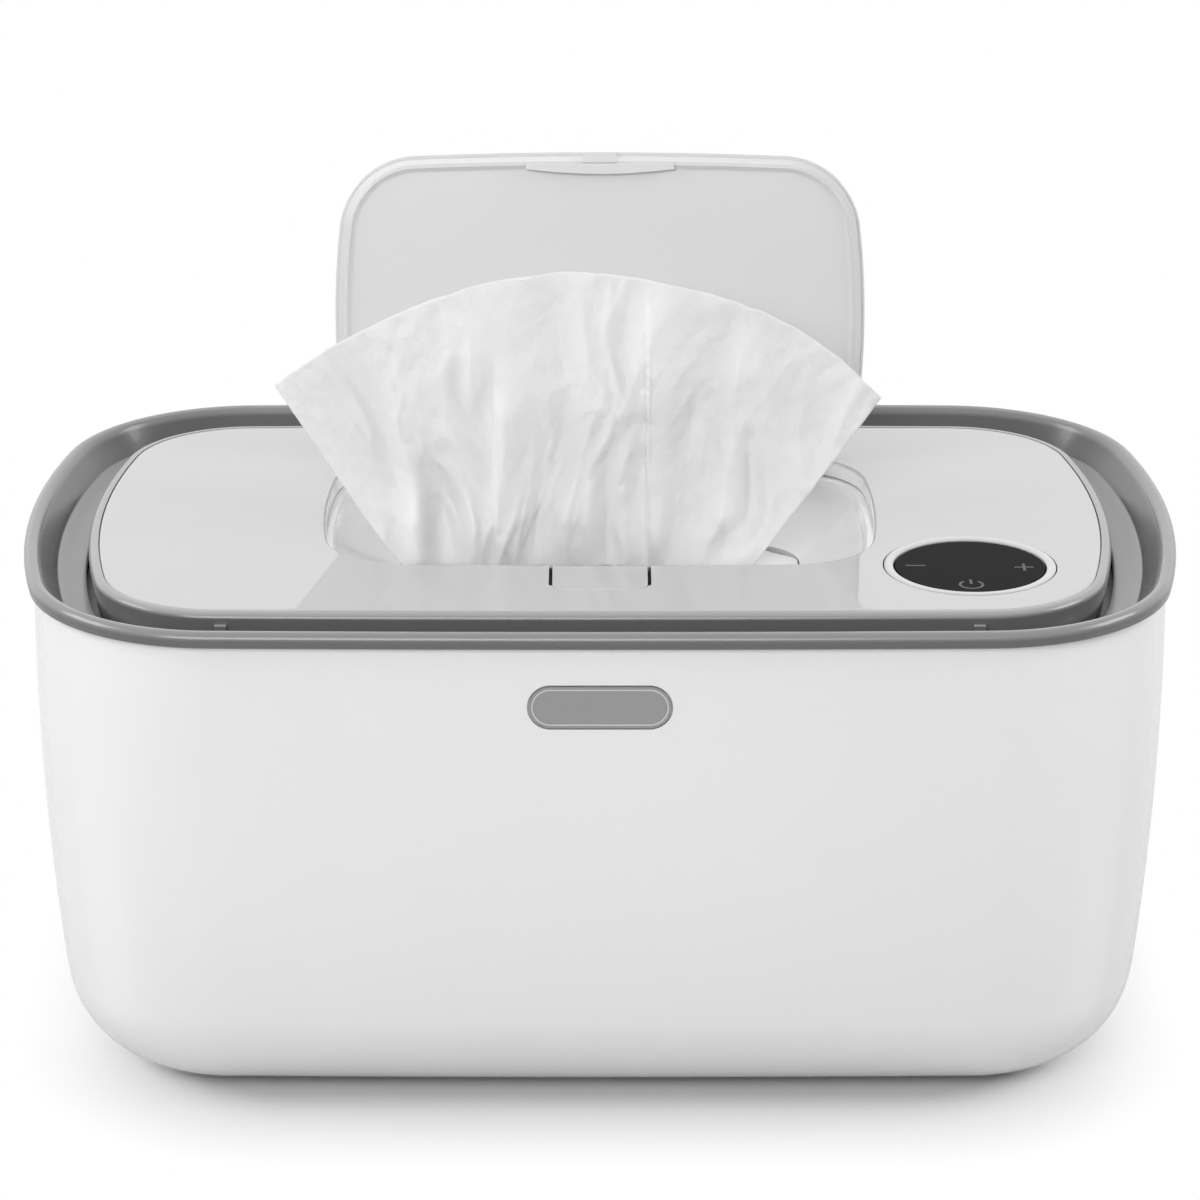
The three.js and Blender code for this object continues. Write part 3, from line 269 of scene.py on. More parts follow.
def new_tree(name, kind, inputs, outputs):
    """A tree with named inputs and outputs of given kinds, and the sockets that bring its inputs in."""
    tree = bpy.data.node_groups.new(name, kind)
    for side, sockets in (("INPUT", inputs), ("OUTPUT", outputs)):
        for label, data in sockets.items():
            tree.interface.new_socket(label, in_out=side, socket_type="NodeSocket" + data)
    return tree, tree.nodes.new("NodeGroupInput").outputs


def give(tree, outputs):
    """The tree, once its named outputs are fed."""
    feed(tree, tree.nodes.new("NodeGroupOutput"), outputs)
    return tree


def grain_group():
    """Fine moulded grain with a slow drift of tone, shared by the plastics."""
    tree, given = new_tree("moulded_grain", "ShaderNodeTree", {
        "Colour": "Color", "Grain size": "Float", "Drift": "Float", "Roughness": "Float", "Roughness spread": "Float",
    }, {"Colour": "Color", "Roughness": "Float", "Height": "Float"})
    place = wired(tree, "TexCoord", "Object")
    grain, drift, smear = (
        wired(tree, "TexNoise", "Fac", {"Vector": place, "Scale": scale, "Detail": detail})
        for scale, detail in ((given["Grain size"], 3), (14, 4), (45, 5))
    )
    tone = ramp(tree, drift, 0.3, 0.7, low=sums(tree, "SUBTRACT", 1, given["Drift"]))
    shade = vectors(tree, "SCALE", given["Colour"], tone)
    spread = sums(tree, "MULTIPLY_ADD", smear, given["Roughness spread"], given["Roughness"])
    return give(tree, {"Colour": shade, "Roughness": spread, "Height": grain})


def dust_group():
    """Pale dust and lint that settles on what faces up, more in some patches than in others."""
    tree, given = new_tree("settled_dust", "ShaderNodeTree", {"Colour": "Color", "Amount": "Float"},
                           {"Colour": "Color"})
    place = wired(tree, "TexCoord", "Object")
    normal = wired(tree, "NewGeometry", "Normal")
    upward = wired(tree, "SeparateXYZ", "Z", {"Vector": normal})
    facing = ramp(tree, upward, 0.4, 1)
    patches = wired(tree, "TexNoise", "Fac", {"Vector": place, "Scale": 60, "Detail": 8})
    both = sums(tree, "MULTIPLY", facing, patches)
    amount = sums(tree, "MULTIPLY", both, given["Amount"], use_clamp=True)
    blend = wired(tree, "Mix", "Result",
                  {"Factor": amount, "A": given["Colour"], "B": (0.75, 0.74, 0.72, 1)}, data_type="RGBA")
    return give(tree, {"Colour": blend})


def painted_light_and_shade_group():
    """Painted light and shade: steep faces below a level take a share of their tone, less than one for the shade in a
    deep groove and more than one for light on a well's wall.
    """
    inputs = {"Colour": "Color", "Share": "Float", "Level": "Float", "Steepest": "Float"}
    tree, given = new_tree("steep_finish", "ShaderNodeTree", inputs, {"Colour": "Color"})
    place = wired(tree, "TexCoord", "Object")
    normal = wired(tree, "NewGeometry", "Normal")
    masks = []
    for limit, vector, reach in ((given["Level"], place, 0.0012), (given["Steepest"], normal, 0.2)):
        height = wired(tree, "SeparateXYZ", "Z", {"Vector": vector})
        masks.append(ramp(tree, sums(tree, "SUBTRACT", limit, height), 0, reach, kind="SMOOTHSTEP"))
    change = sums(tree, "SUBTRACT", given["Share"], 1)
    tone = sums(tree, "MULTIPLY_ADD", sums(tree, "MULTIPLY", *masks), change, 1)
    return give(tree, {"Colour": vectors(tree, "SCALE", given["Colour"], tone)})


# The third group paints light and shade on steep faces.
GRAIN, DUST, STEEP_LIGHT_AND_SHADE = grain_group(), dust_group(), painted_light_and_shade_group()
GRAIN_HEIGHT, COAT_ROUGHNESS = 0.0002, 0.03


def new_material(name):
    """A material, its tree and its Principled shader."""
    material = bpy.data.materials.new(name)
    material.use_nodes = True
    return material, material.node_tree, material.node_tree.nodes["Principled BSDF"]


def plastic(name, colour, rough, grain=900, depth=0.02, drift=0.03, spread=0.05, dust=0.0, coat=0.0, specular=0.5,
            painted_light_and_shade=None, metal=0):
    """A moulded plastic, or bare metal: its colour drifts a little, its grain is in the bump, and dust lies on what
    faces up. Painted light and shade on steep faces is given as the share of its tone that is left, the level under
    which it starts, in metres, and the steepest normal's height that still has the plain tone."""
    material, tree, shader = new_material(name)
    made = wired(tree, "Group", None, node_tree=GRAIN)
    feed(tree, made, {"Colour": (*colour, 1), "Grain size": grain, "Drift": drift, "Roughness": rough,
                      "Roughness spread": spread})
    tone = made.outputs["Colour"]
    # Painted light and shade on steep faces below a level.
    if painted_light_and_shade:
        share, level, steepest = painted_light_and_shade
        tone = wired(tree, "Group", "Colour",
                     {"Colour": tone, "Share": share, "Level": level, "Steepest": steepest}, node_tree=STEEP_LIGHT_AND_SHADE)
    if dust:
        tone = wired(tree, "Group", "Colour", {"Colour": tone, "Amount": dust}, node_tree=DUST)
    bump = wired(tree, "Bump", "Normal",
                 {"Strength": depth, "Distance": GRAIN_HEIGHT, "Height": made.outputs["Height"]})
    feed(tree, shader, {
        "Base Color": tone, "Roughness": made.outputs["Roughness"], "Normal": bump, "Metallic": metal,
        "Specular IOR Level": specular, "Coat Weight": coat, "Coat Roughness": COAT_ROUGHNESS,
    })
    return material


SHELL_INSET, SHELL_WALL = 1.9, 2.0
SHELL_TOP, SHELL_BOTTOM, TOP_LEVELS = 113.5, 1.0, (97, 101, 105, 109)
WIDEST, BULGE, BOTTOM_RADIUS = 93, 650, 24.4
FLANGE, LIP, LIP_BOTTOM, CHAMFER = 8, 1.2, SHELL_TOP - 8, 0.3
shell_turn = math.degrees(math.asin((WIDEST - SHELL_BOTTOM - BOTTOM_RADIUS) / (BULGE - BOTTOM_RADIUS)))
bottom_inset = SHELL_INSET + BULGE - (BULGE - BOTTOM_RADIUS) * math.cos(math.radians(shell_turn))
bottom_level = SHELL_BOTTOM + BOTTOM_RADIUS


def wall_inset(level, offset=0.0):
    """How far the wall stands inside the rim at a level."""
    return SHELL_INSET + BULGE - math.sqrt((BULGE - offset) ** 2 - (level - WIDEST) ** 2)


def wall_profile(offset):
    """Bottom edge and wall from the flange up to the widest level, as (inset, level)."""
    corner, bulge = BOTTOM_RADIUS - offset, BULGE - offset
    low = arc_points((bottom_inset, bottom_level), corner, 270, 180 + shell_turn, 16)
    high = arc_points((SHELL_INSET + BULGE, WIDEST), bulge, 180 + shell_turn, 180, 12)
    return low + high[1:]


outer_wall, inner_wall = wall_profile(0), wall_profile(SHELL_WALL)
flange_inset = bottom_inset + FLANGE
lip_inset = wall_inset(SHELL_TOP) + LIP
shell_profile = (
    [(flange_inset, SHELL_BOTTOM + CHAMFER), (flange_inset - CHAMFER, SHELL_BOTTOM)]
    + outer_wall
    + [(wall_inset(level), level) for level in (*TOP_LEVELS, SHELL_TOP - CHAMFER)]
    + [(wall_inset(SHELL_TOP) + CHAMFER, SHELL_TOP), (lip_inset, SHELL_TOP), (lip_inset, LIP_BOTTOM)]
    + [(wall_inset(LIP_BOTTOM, SHELL_WALL), LIP_BOTTOM)]
    + list(reversed(inner_wall))
    + [(flange_inset, SHELL_BOTTOM + SHELL_WALL)]
)
PLAQUE_LEVEL, PLAQUE_WIDTH, PLAQUE_HEIGHT = RIM_HEIGHT - 17.4, 31, 9.6
POCKET_GAP, POCKET_DEPTH = 0.6, 0.9
plaque_y = wall_inset(PLAQUE_LEVEL) - HALF_DEPTH
INLET_LEVEL, INLET_HOLE = 30, 4.2
inlet_tilt = math.asin((WIDEST - INLET_LEVEL) / BULGE)
inlet_out = Vector((0, math.cos(inlet_tilt), -math.sin(inlet_tilt)))
inlet_seat = Vector((0, HALF_DEPTH - wall_inset(INLET_LEVEL), INLET_LEVEL))
base_screw_y = HALF_DEPTH - bottom_inset - FLANGE / 2
BASE_SCREWS = [(x, side * base_screw_y) for x in (-60, 60) for side in (-1, 1)]
SCREW_HOLE, HEAD_HOLE, HEAD_HOLE_TOP = 1.6, 3.1, 2.4
pocket = [(x, z + PLAQUE_LEVEL) for x, z in pill_outline(PLAQUE_WIDTH + POCKET_GAP, PLAQUE_HEIGHT + POCKET_GAP)]
shell_cuts = [
    upright_skin("pocket", [(plaque_y - 2, pocket), (plaque_y + POCKET_DEPTH, pocket)], capped=True),
    rod(INLET_HOLE, inlet_seat - inlet_out * 6, inlet_seat + inlet_out * 4),
]
for x, y in BASE_SCREWS:
    shell_cuts.append(rod(SCREW_HOLE, (x, y, -1), (x, y, 4)))
    shell_cuts.append(rod(HEAD_HOLE, (x, y, -1), (x, y, HEAD_HOLE_TOP)))
shell_white = plastic("shell_gloss_white", (0.8, 0.8, 0.798), 0.05, grain=260, depth=0.012, drift=0.012, spread=0.04,
                      coat=0.8)
shell_mesh = cut_mesh(skin_mesh("shell", [rim_ring(*p) for p in shell_profile], around=True), shell_cuts)
piece("shell_body", soften(shell_mesh), shell_white, "base", "outer_shell", slot="white_gloss")

# Front plaque: a small satin grey pill pressed into its pocket in the front wall,
# with a raised border and a bare field.
plaque_grey = plastic("plaque_satin_grey", (0.30, 0.30, 0.30), 0.32, grain=1400, depth=0.05, drift=0.05)
plaque_light = plastic("plaque_border_grey", (0.62, 0.62, 0.62), 0.28, grain=1400, depth=0.04, drift=0.03)
PLAQUE_SINK = 0.05
# Each step of an outline is how far in from the plaque's edge it is, and how far it stands out of its field.
PLATE_STEPS = [(0, -0.5), (0, 0.1), (0.12, 0.22), (0.3, 0.26), (0.46, 0.22), (0.58, 0.08), (0.95, 0.08), (1.05, 0.14)]
BORDER_STEPS = [(0.6, 0.06), (0.62, 0.14), (0.9, 0.14), (0.92, 0.06)]


def plaque_skin(name, steps, **ends):
    """A mesh of the plaque through outlines at these steps."""
    outlines = []
    for inset, proud in steps:
        points = pill_outline(PLAQUE_WIDTH - 2 * inset, PLAQUE_HEIGHT - 2 * inset, steps=28)
        outlines.append((plaque_y + PLAQUE_SINK - proud, [(x, z + PLAQUE_LEVEL) for x, z in points]))
    return soften(upright_skin(name, outlines, **ends))


plaque_mesh = plaque_skin("plaque", PLATE_STEPS, capped=True)
piece("plaque_plate", plaque_mesh, plaque_grey, "base", "front_plaque", slot="plaque")
border_mesh = plaque_skin("plaque_line", BORDER_STEPS, around=True)
piece("plaque_line", border_mesh, plaque_light, "base", slot="plaque")

# Rim collar: a satin mid-grey ring with a round bead over the shell's edge, a trough wall that slopes in to a ledge,
# and below it the gutter that the tank hangs in; two arms at the back of the gutter carry the lid's hinge.
BEAD_WIDTH, BEAD_HEIGHT, BEAD_START = 3.7, 3.6, 0.6
GUTTER_INSET, GUTTER_LIP, GUTTER_LEVEL, COLLAR_WALL, COLLAR_EDGE = 12.6, 18.6, 101.0, 1.8, 0.3
HINGE_X, HINGE, HINGE_BORE = (-62, 62), (64.3, 112.4), 1.45
HINGE_Y, HINGE_Z = HINGE
KNUCKLE, ARM_WIDTH, ARM_HALF, ARM_FOOT = 2.2, 5.0, 1.3, 100


def axle(radius, first, last, axis, sides=24):
    """A rod across the warmer on an axis (y, level), between two places."""
    return rod(radius, (first, *axis), (last, *axis), sides)


def through(points, steps=5):
    """A smooth line through points (inset, level), with more points between them."""
    line = [points[0], *points, points[-1]]
    made = []
    for a, b, c, d in zip(line, line[1:], line[2:], line[3:]):
        for i in range(steps):
            t = i / steps
            made.append(tuple(
                0.5 * ((2 * q) + (r - p) * t + (2 * p - 5 * q + 4 * r - s) * t * t + (3 * q - p - 3 * r + s) * t ** 3)
                for p, q, r, s in zip(a, b, c, d)
            ))
    return made + [points[-1]]


bead = [(0.08, 1), (0, 0.51), (0.09, 0.22), (0.3, 0.03), (0.51, 0), (0.78, 0.1), (1, 0.41)]
bead_line = through([(a * BEAD_WIDTH, RIM_HEIGHT - b * BEAD_HEIGHT) for a, b in bead])
trough_line = through([(3.8, 115.8), (5.2, 113.95), (6.8, 111.95), (7.45, 111.2), (8.6, 110.75), (10.4, 110.25),
                       (13.45, 109.9), (13.9, 109.45)], steps=4)
gutter_back, gutter_under = GUTTER_INSET - COLLAR_WALL, GUTTER_LEVEL - COLLAR_WALL
gutter_line = [
    (13.9, 108.6), (GUTTER_INSET + COLLAR_EDGE, 108.2), (GUTTER_INSET, 107.8),
    (GUTTER_INSET, GUTTER_LEVEL + COLLAR_EDGE), (GUTTER_INSET + COLLAR_EDGE, GUTTER_LEVEL),
    (GUTTER_LIP - COLLAR_EDGE, GUTTER_LEVEL),
    (GUTTER_LIP, GUTTER_LEVEL - COLLAR_EDGE), (GUTTER_LIP, gutter_under), (gutter_back, gutter_under),
    (gutter_back, 108.1), (5.9, 109.2), (3.7, 112.1), (3.7, 113.8),
]
collar_profile = [(BEAD_START, RIM_HEIGHT - BEAD_HEIGHT)] + bead_line[1:] + trough_line + gutter_line
arm_parts = []
for x in HINGE_X:
    left, right = x - ARM_WIDTH / 2, x + ARM_WIDTH / 2
    arm_parts.append(brick((left, HINGE_Y - ARM_HALF, ARM_FOOT), (right, HINGE_Y + ARM_HALF, HINGE_Z)))
    arm_parts.append(axle(KNUCKLE, left, right, HINGE, 48))
arm_bores = [axle(HINGE_BORE, x - 4, x + 4, HINGE) for x in HINGE_X]
# Painted shade: below 116.6 mm the collar's steep faces, the bead's side and the trough and gutter walls, keep only
# 0.46 of its grey.
collar_grey = plastic("collar_satin_grey", (0.255, 0.257, 0.257), 0.2, grain=1500, depth=0.04, drift=0.03, dust=0.04,
                      coat=0.15, painted_light_and_shade=(0.46, 0.1166, 0.9))
collar_mesh = cut_mesh(skin_mesh("collar", [rim_ring(*p) for p in collar_profile], around=True), arm_bores, arm_parts)
piece("collar_ring", soften(collar_mesh), collar_grey, "base", "rim_collar", slot="grey_satin")

# Lid frame: the light grey ring round the lid with its skirt, two small ribs in front,
# and the lugs at the back that take the hinge pins; the lid cover is glued into its step.
LID_TOP = RIM_HEIGHT - 0.7
LID_INSET, STEP_INSET, COVER_INSET = 14.5, 16.76, 16.9
SKIRT_BOTTOM, SKIRT_TOP = LID_TOP - 11.7, 113.0
COVER_UNDER = LID_TOP - 1.8
step_bottom = COVER_UNDER - 0.3
frame_profile = (
    [(16.2, SKIRT_BOTTOM)]
    + through([(14.7, 112.9), (LID_INSET, 115.0), (14.62, 115.75), (15.0, 116.3), (15.7, 116.68)], 4)
    + [(16.0, LID_TOP), (STEP_INSET, LID_TOP), (STEP_INSET, step_bottom), (20.5, step_bottom), (20.5, SKIRT_TOP),
       (17.05, SKIRT_TOP), (17.9, SKIRT_BOTTOM)]
)
LUG_NEAR, LUG_FAR = 3.0, 6.0
lugs, lug_cuts = [], []
for x in HINGE_X:
    for side in (-1, 1):
        inner, outer = sorted((x + side * LUG_NEAR, x + side * LUG_FAR))
        lugs.append(axle(KNUCKLE, inner, outer, HINGE, 48))
        lugs.append(brick((inner, HINGE_Y - KNUCKLE, HINGE_Z), (outer, HINGE_Y + KNUCKLE / 2, step_bottom)))
    left, right = x - LUG_NEAR, x + LUG_NEAR
    lug_cuts.append(brick((left, 58.5, SKIRT_BOTTOM - 2), (right, HALF_DEPTH, HINGE_Z + KNUCKLE + 0.5)))
    lug_cuts.append(axle(HINGE_BORE, x - 8, x + 8, HINGE))
RIB_X, RIB_HALF = (-82.5, 82.5), 1.3
ribs = [
    brick((x - RIB_HALF, 13.94 - HALF_DEPTH, SKIRT_BOTTOM + 2.6), (x + RIB_HALF, 16.1 - HALF_DEPTH, LID_TOP - 2.5))
    for x in RIB_X
]
# Painted shade: below 116.4 mm the ring's steep faces, its skirt, rounded edge and ribs, keep only 0.4 of its grey.
frame_grey = plastic("lid_ring_grey", (0.34, 0.34, 0.34), 0.2, grain=700, depth=0.03, drift=0.02, coat=0.15,
                     painted_light_and_shade=(0.4, 0.1164, 0.75))
frame_skin = skin_mesh("lid_ring", [rim_ring(*p) for p in frame_profile], around=True)
frame_mesh = smooth_faces(cut_mesh(frame_skin, lug_cuts, lugs + ribs))
piece("lid_ring", frame_mesh, frame_grey, "lid", "lid_frame", slot="light_grey")

# Lid cover: a mirror-smooth white plate with the wall of the well, a cut-out for the latch tab and one for the panel.
# The two ears at the back of the well carry the flap's hinge pin.
WELL = dict(width=126, depth=77, corner=19, end=190, side=1100, shift=3.9)
well_ring = plan_outline(**WELL)
WELL_FRONT, WELL_BACK = WELL["shift"] - WELL["depth"] / 2, WELL["shift"] + WELL["depth"] / 2
WALL_BOTTOM, WALL_OUT = LID_TOP - 3.638, -1.8
COVER_EDGE, WELL_EDGE = 0.45, 0.5
FLAP_AXIS = FLAP_AXIS_Y, FLAP_AXIS_Z = WELL_BACK - 2.6916, LID_TOP - 1.5
PANEL, LENS_RADIUS, PANEL_HOLE = (82.5, -35), 16.85, 19.45
TAB_HALF, TAB_LENGTH, TAB_THICK = 10.6, 14.9, 1.7
TAB_BACK = WELL_FRONT - 0.3
TAB_FRONT = TAB_BACK - TAB_LENGTH
SLIT_SIDE, SLIT_FRONT = 0.75, 0.3
EARS_X, EAR_HALF, EAR_RADIUS, FLAP_BORE = (-24, 24), 2.5, 1.5, 1.1
LID_SCREWS = [(x, y) for x in (-50, 50) for y in (-56, 56)]
BOSS_RADIUS, BOSS_FOOT = 3.2, 107.9


def tab_outline(half, front, back, radius):
    """The latch tab's plan: square at the well, rounded at its front corners, as (x, y) points."""
    right = arc_points((half - radius, front + radius), radius, -90, 0, 10)
    return [(half, back), *reversed(right), *[(-x, y) for x, y in right], (-half, back)]


def flat_skin(name, layers, around=False):
    """A mesh through level outlines, each (level, points): closed on itself, or else capped."""
    rings = [[Vector((x, y, level)) for x, y in points] for level, points in layers]
    return skin_mesh(name, rings, around, capped=not around)


def quarter_turn(steps):
    """The sine and cosine of each step of a quarter turn, from its start."""
    return [(math.sin(a), math.cos(a)) for a in (math.pi / 2 * i / steps for i in range(steps + 1))]


cover_rings = [rim_ring(COVER_INSET, COVER_UNDER), rim_ring(COVER_INSET, LID_TOP - COVER_EDGE)]
cover_rings += [rim_ring(COVER_INSET + COVER_EDGE * (1 - c), LID_TOP - COVER_EDGE * (1 - s))
                for s, c in quarter_turn(4)[1:]]
cover_rings += [rim_ring(COVER_INSET + 1.2, LID_TOP), well_ring(-1.3, LID_TOP)]
cover_rings += [well_ring(WELL_EDGE * (s - 1), LID_TOP - WELL_EDGE * (1 - c)) for s, c in quarter_turn(4)]
cover_rings += [well_ring(0, WALL_BOTTOM), well_ring(WALL_OUT, WALL_BOTTOM), well_ring(WALL_OUT, COVER_UNDER)]
slit = tab_outline(TAB_HALF + SLIT_SIDE, TAB_FRONT - SLIT_FRONT, WELL_FRONT + 2, 3.5)
cover_cuts = [
    rod(PANEL_HOLE, (*PANEL, 110), (*PANEL, 120), 96),
    flat_skin("slit", [(108, slit), (120, slit)]),
    axle(FLAP_BORE, -32, 32, FLAP_AXIS),
]
ears = []
for x in EARS_X:
    left, right = x - EAR_HALF, x + EAR_HALF
    ears.append(axle(EAR_RADIUS, left, right, FLAP_AXIS, 32))
    ears.append(brick((left, FLAP_AXIS_Y, FLAP_AXIS_Z - EAR_RADIUS), (right, WELL_BACK + 0.9, FLAP_AXIS_Z + 0.75)))
for x, y in LID_SCREWS:
    ears.append(rod(BOSS_RADIUS, (x, y, BOSS_FOOT), (x, y, LID_TOP - 1), 24))
    cover_cuts.append(rod(SCREW_HOLE, (x, y, 106), (x, y, COVER_UNDER), 16))
# Painted light: steep faces below 116.9 mm, which are the well's wall and the rounded edges of the cover and latch
# tab, are 1.93 times as bright as the flat top.
cover_white = plastic("lid_mirror_white", (0.48, 0.48, 0.48), 0.03, grain=220, depth=0.01, drift=0.012, spread=0.04,
                      coat=0.6, painted_light_and_shade=(1.93, 0.1169, 0.75))
cover_mesh = cut_mesh(skin_mesh("cover", cover_rings, around=True), cover_cuts, ears)
piece("lid_plate", soften(cover_mesh), cover_white, "lid", "lid_cover", slot="white_gloss")

# Dispenser insert: the glossy white funnel under the well, with a step that the flap's seal closes on
# and an oval slot at the bottom; it is clamped under the cover's wall.
SLOT = dict(width=92, depth=30, corner=12, end=30, side=300, shift=0.5)
slot_ring = plan_outline(**SLOT)
WELL_LEVEL = LID_TOP - 3.938
STEP_LEVEL = WELL_LEVEL - 2.2
SLOT_LEVEL = LID_TOP - 11.9
SLOT_BOTTOM, INSERT_WALL, FUNNEL_CURVE = SLOT_LEVEL - 2.6, 1.8, 1.45


def between(upper, lower, share):
    """A ring between two rings, lower at first than its share of the way in, so that the funnel is hollow."""
    fall = 1 - (1 - share) ** FUNNEL_CURVE
    return [Vector((a.x + (b.x - a.x) * share, a.y + (b.y - a.y) * share, a.z + (b.z - a.z) * fall))
            for a, b in zip(upper, lower)]


funnel_top, funnel_foot = well_ring(2.4, STEP_LEVEL), slot_ring(0, SLOT_LEVEL)
insert_rings = [well_ring(inset, WELL_LEVEL - drop)
                for inset, drop in ((-1.5, 0), (1.5, 0), (1.85, 0.12), (2.0, 0.4), (2.35, 1.95))]
insert_rings += [between(funnel_top, funnel_foot, share) for share in (0.02, 0.1, 0.25, 0.42, 0.6, 0.78, 0.92)]
insert_rings += [
    slot_ring(0, SLOT_LEVEL - 0.3), slot_ring(0, SLOT_BOTTOM), slot_ring(-INSERT_WALL, SLOT_BOTTOM),
    slot_ring(-INSERT_WALL, SLOT_LEVEL - 1.2), well_ring(2.0, STEP_LEVEL - INSERT_WALL),
    well_ring(0.2, WELL_LEVEL - INSERT_WALL), well_ring(-1.5, WELL_LEVEL - INSERT_WALL),
]
latch_pocket = brick((-12, WELL_FRONT - 4, WELL_LEVEL - 1.9), (12, WELL_FRONT + 2.4, WELL_LEVEL + 2))
insert_white = plastic("funnel_gloss_white", (0.86, 0.86, 0.857), 0.1, grain=220, depth=0.012, drift=0.012, coat=0.5)
insert_mesh = cut_mesh(skin_mesh("funnel", insert_rings, around=True), [latch_pocket])
piece("dispenser_funnel", soften(insert_mesh), insert_white, "lid", "dispenser_insert", slot="white_gloss")

# Latch tab: a thin white plate flush with the lid, free at its sides; pressing it at the well
# bends the strip at its front edge and lets the flap's tongue go.
TAB_STEPS = [(TAB_THICK, 0, 2.8), (0.3, 0, 2.8), (0.09, 0.09, 2.75), (0, 0.3, 2.6)]
tab_layers = [(LID_TOP - drop, tab_outline(TAB_HALF - inset, TAB_FRONT + inset, TAB_BACK - inset, radius))
              for drop, inset, radius in TAB_STEPS]
nose = brick((-5, TAB_BACK - 0.7, LID_TOP - TAB_THICK - 1.6), (5, TAB_BACK, LID_TOP - TAB_THICK / 2))
tab_mesh = cut_mesh(flat_skin("tab", tab_layers), [], [nose])
piece("latch_plate", soften(tab_mesh), cover_white, "latch", "latch_tab", slot="white_gloss")

# Touch panel: a round black clear-coated lens with three lit symbols printed on its back,
# set in a light grey bezel that stands a little proud of the lid.
LENS_TOP = LID_TOP - 0.15
LENS_BOTTOM = LENS_TOP - 1.4


def turned(name, profile, centre=(0, 0), steps=96, around=False):
    """A mesh turned round an upright axis, from its profile (radius, level)."""
    layers = [(level, arc_points(centre, radius, 0, 360, steps)[:-1]) for radius, level in profile]
    return flat_skin(name, layers, around)


lens_mesh = turned("lens", [(LENS_RADIUS, LENS_BOTTOM), (LENS_RADIUS, LENS_TOP - 0.3),
                            (LENS_RADIUS - 0.1, LENS_TOP - 0.08), (LENS_RADIUS - 0.35, LENS_TOP)], PANEL)
lens_black = plastic("lens_clear_black", (0.007, 0.007, 0.0075), 0.05, grain=150, depth=0.006, drift=0.2, spread=0.03,
                     specular=0.012)
piece("touch_glass", soften(lens_mesh), lens_black, "lid", "touch_lens", slot="black_glass")
BEZEL_IN, BEZEL_OUT = 17.15, 19.15
bezel_profile = [(BEZEL_IN, LENS_BOTTOM), (BEZEL_OUT, LENS_BOTTOM)]
bezel_profile += [(radius, LID_TOP + rise) for radius, rise in (
    (BEZEL_OUT, 0.02), (19.0, 0.2), (18.7, 0.3), (18.1, 0.3), (17.7, 0.24), (17.3, 0.08), (BEZEL_IN, -0.1),
)]
bezel_grey = plastic("bezel_light_grey", (0.60, 0.60, 0.60), 0.2, grain=600, depth=0.02, drift=0.02, coat=0.3)
bezel_mesh = soften(turned("bezel", bezel_profile, PANEL, around=True))
piece("bezel_ring", bezel_mesh, bezel_grey, "lid", "panel_bezel", slot="light_grey")

STROKE, ARM = 0.62, 2.2
SYMBOL_LEVELS = (LENS_TOP + 0.01, LENS_TOP + 0.04)


def bar(start, end):
    """A flat bar between two points on the lens, as a thin mesh."""
    (x0, y0), (x1, y1) = start, end
    length = math.hypot(x1 - x0, y1 - y0)
    nx, ny = -(y1 - y0) / length * STROKE / 2, (x1 - x0) / length * STROKE / 2
    corners = [(x0 + nx, y0 + ny), (x0 - nx, y0 - ny), (x1 - nx, y1 - ny), (x1 + nx, y1 + ny)]
    return flat_skin("bar", [(level, corners) for level in SYMBOL_LEVELS])


def ring_part(centre, radius, first, last, steps=40):
    """A flat part of a ring on the lens, in degrees."""
    bm = bmesh.new()
    low_out, low_in, high_out, high_in = (
        [bm.verts.new((x * MM, y * MM, level * MM)) for x, y in arc_points(centre, radius + side, first, last, steps)]
        for level in SYMBOL_LEVELS for side in (STROKE / 2, -STROKE / 2)
    )
    for a, b in ((low_out, low_in), (high_in, high_out), (high_out, low_out), (low_in, high_in)):
        for i in range(steps):
            bm.faces.new((a[i], a[i + 1], b[i + 1], b[i]))
    for i in (0, steps):
        bm.faces.new((low_out[i], high_out[i], high_in[i], low_in[i]))
    bmesh.ops.recalc_face_normals(bm, faces=bm.faces)
    return drained(bm, "ring_part")


MINUS, PLUS, POWER = (70.4, -34.5), (94.5, -35.6), (82.0, -46.9)
symbol_bars = [
    (MINUS, (-ARM, 0), (ARM, 0)), (PLUS, (-ARM, 0), (-STROKE / 2, 0)), (PLUS, (STROKE / 2, 0), (ARM, 0)),
    (PLUS, (0, -2.3), (0, 2.3)), (POWER, (0, 0.4), (0, 3.2)),
]
symbol_parts = [bar(*((x + dx, y + dy) for dx, dy in ends)) for (x, y), *ends in symbol_bars]
symbol_parts.append(ring_part(POWER, 2.5, 128, 412))
symbols_bm = bmesh.new()
for part in symbol_parts:
    symbols_bm.from_mesh(part)
lit = plastic("symbol_grey_light", (0.13, 0.13, 0.13), 0.4, grain=900, depth=0.01, drift=0.1, specular=0.05)
piece("touch_symbols", drained(symbols_bm, "symbols"), lit, "lid", slot="black_glass")

# Flap: a white lid plate for the well, lined on its inner side with a stepped tray; it stands open on its hinge pin.
# Its edge carries fine steps and a thin seal, and a crescent catch at the front edge takes the latch.
FLAP_GAP, FLAP_THICK, FLAP_EDGE, FLAP_TURN = 0.4, 2.0, 0.6, 105
flap_axis = Vector((0, *FLAP_AXIS)) * MM
FLAP_OPEN = (Matrix.Translation(flap_axis) @ Matrix.Rotation(math.radians(-FLAP_TURN), 4, "X")
             @ Matrix.Translation(-flap_axis))


def opened(mesh):
    """The mesh, drawn on the shut flap, turned open with it."""
    mesh.transform(FLAP_OPEN)
    return mesh


def flap_ring(inset, drop):
    """The flap's outline at an inset from its edge and a depth under its top."""
    return well_ring(FLAP_GAP + inset, LID_TOP - drop)


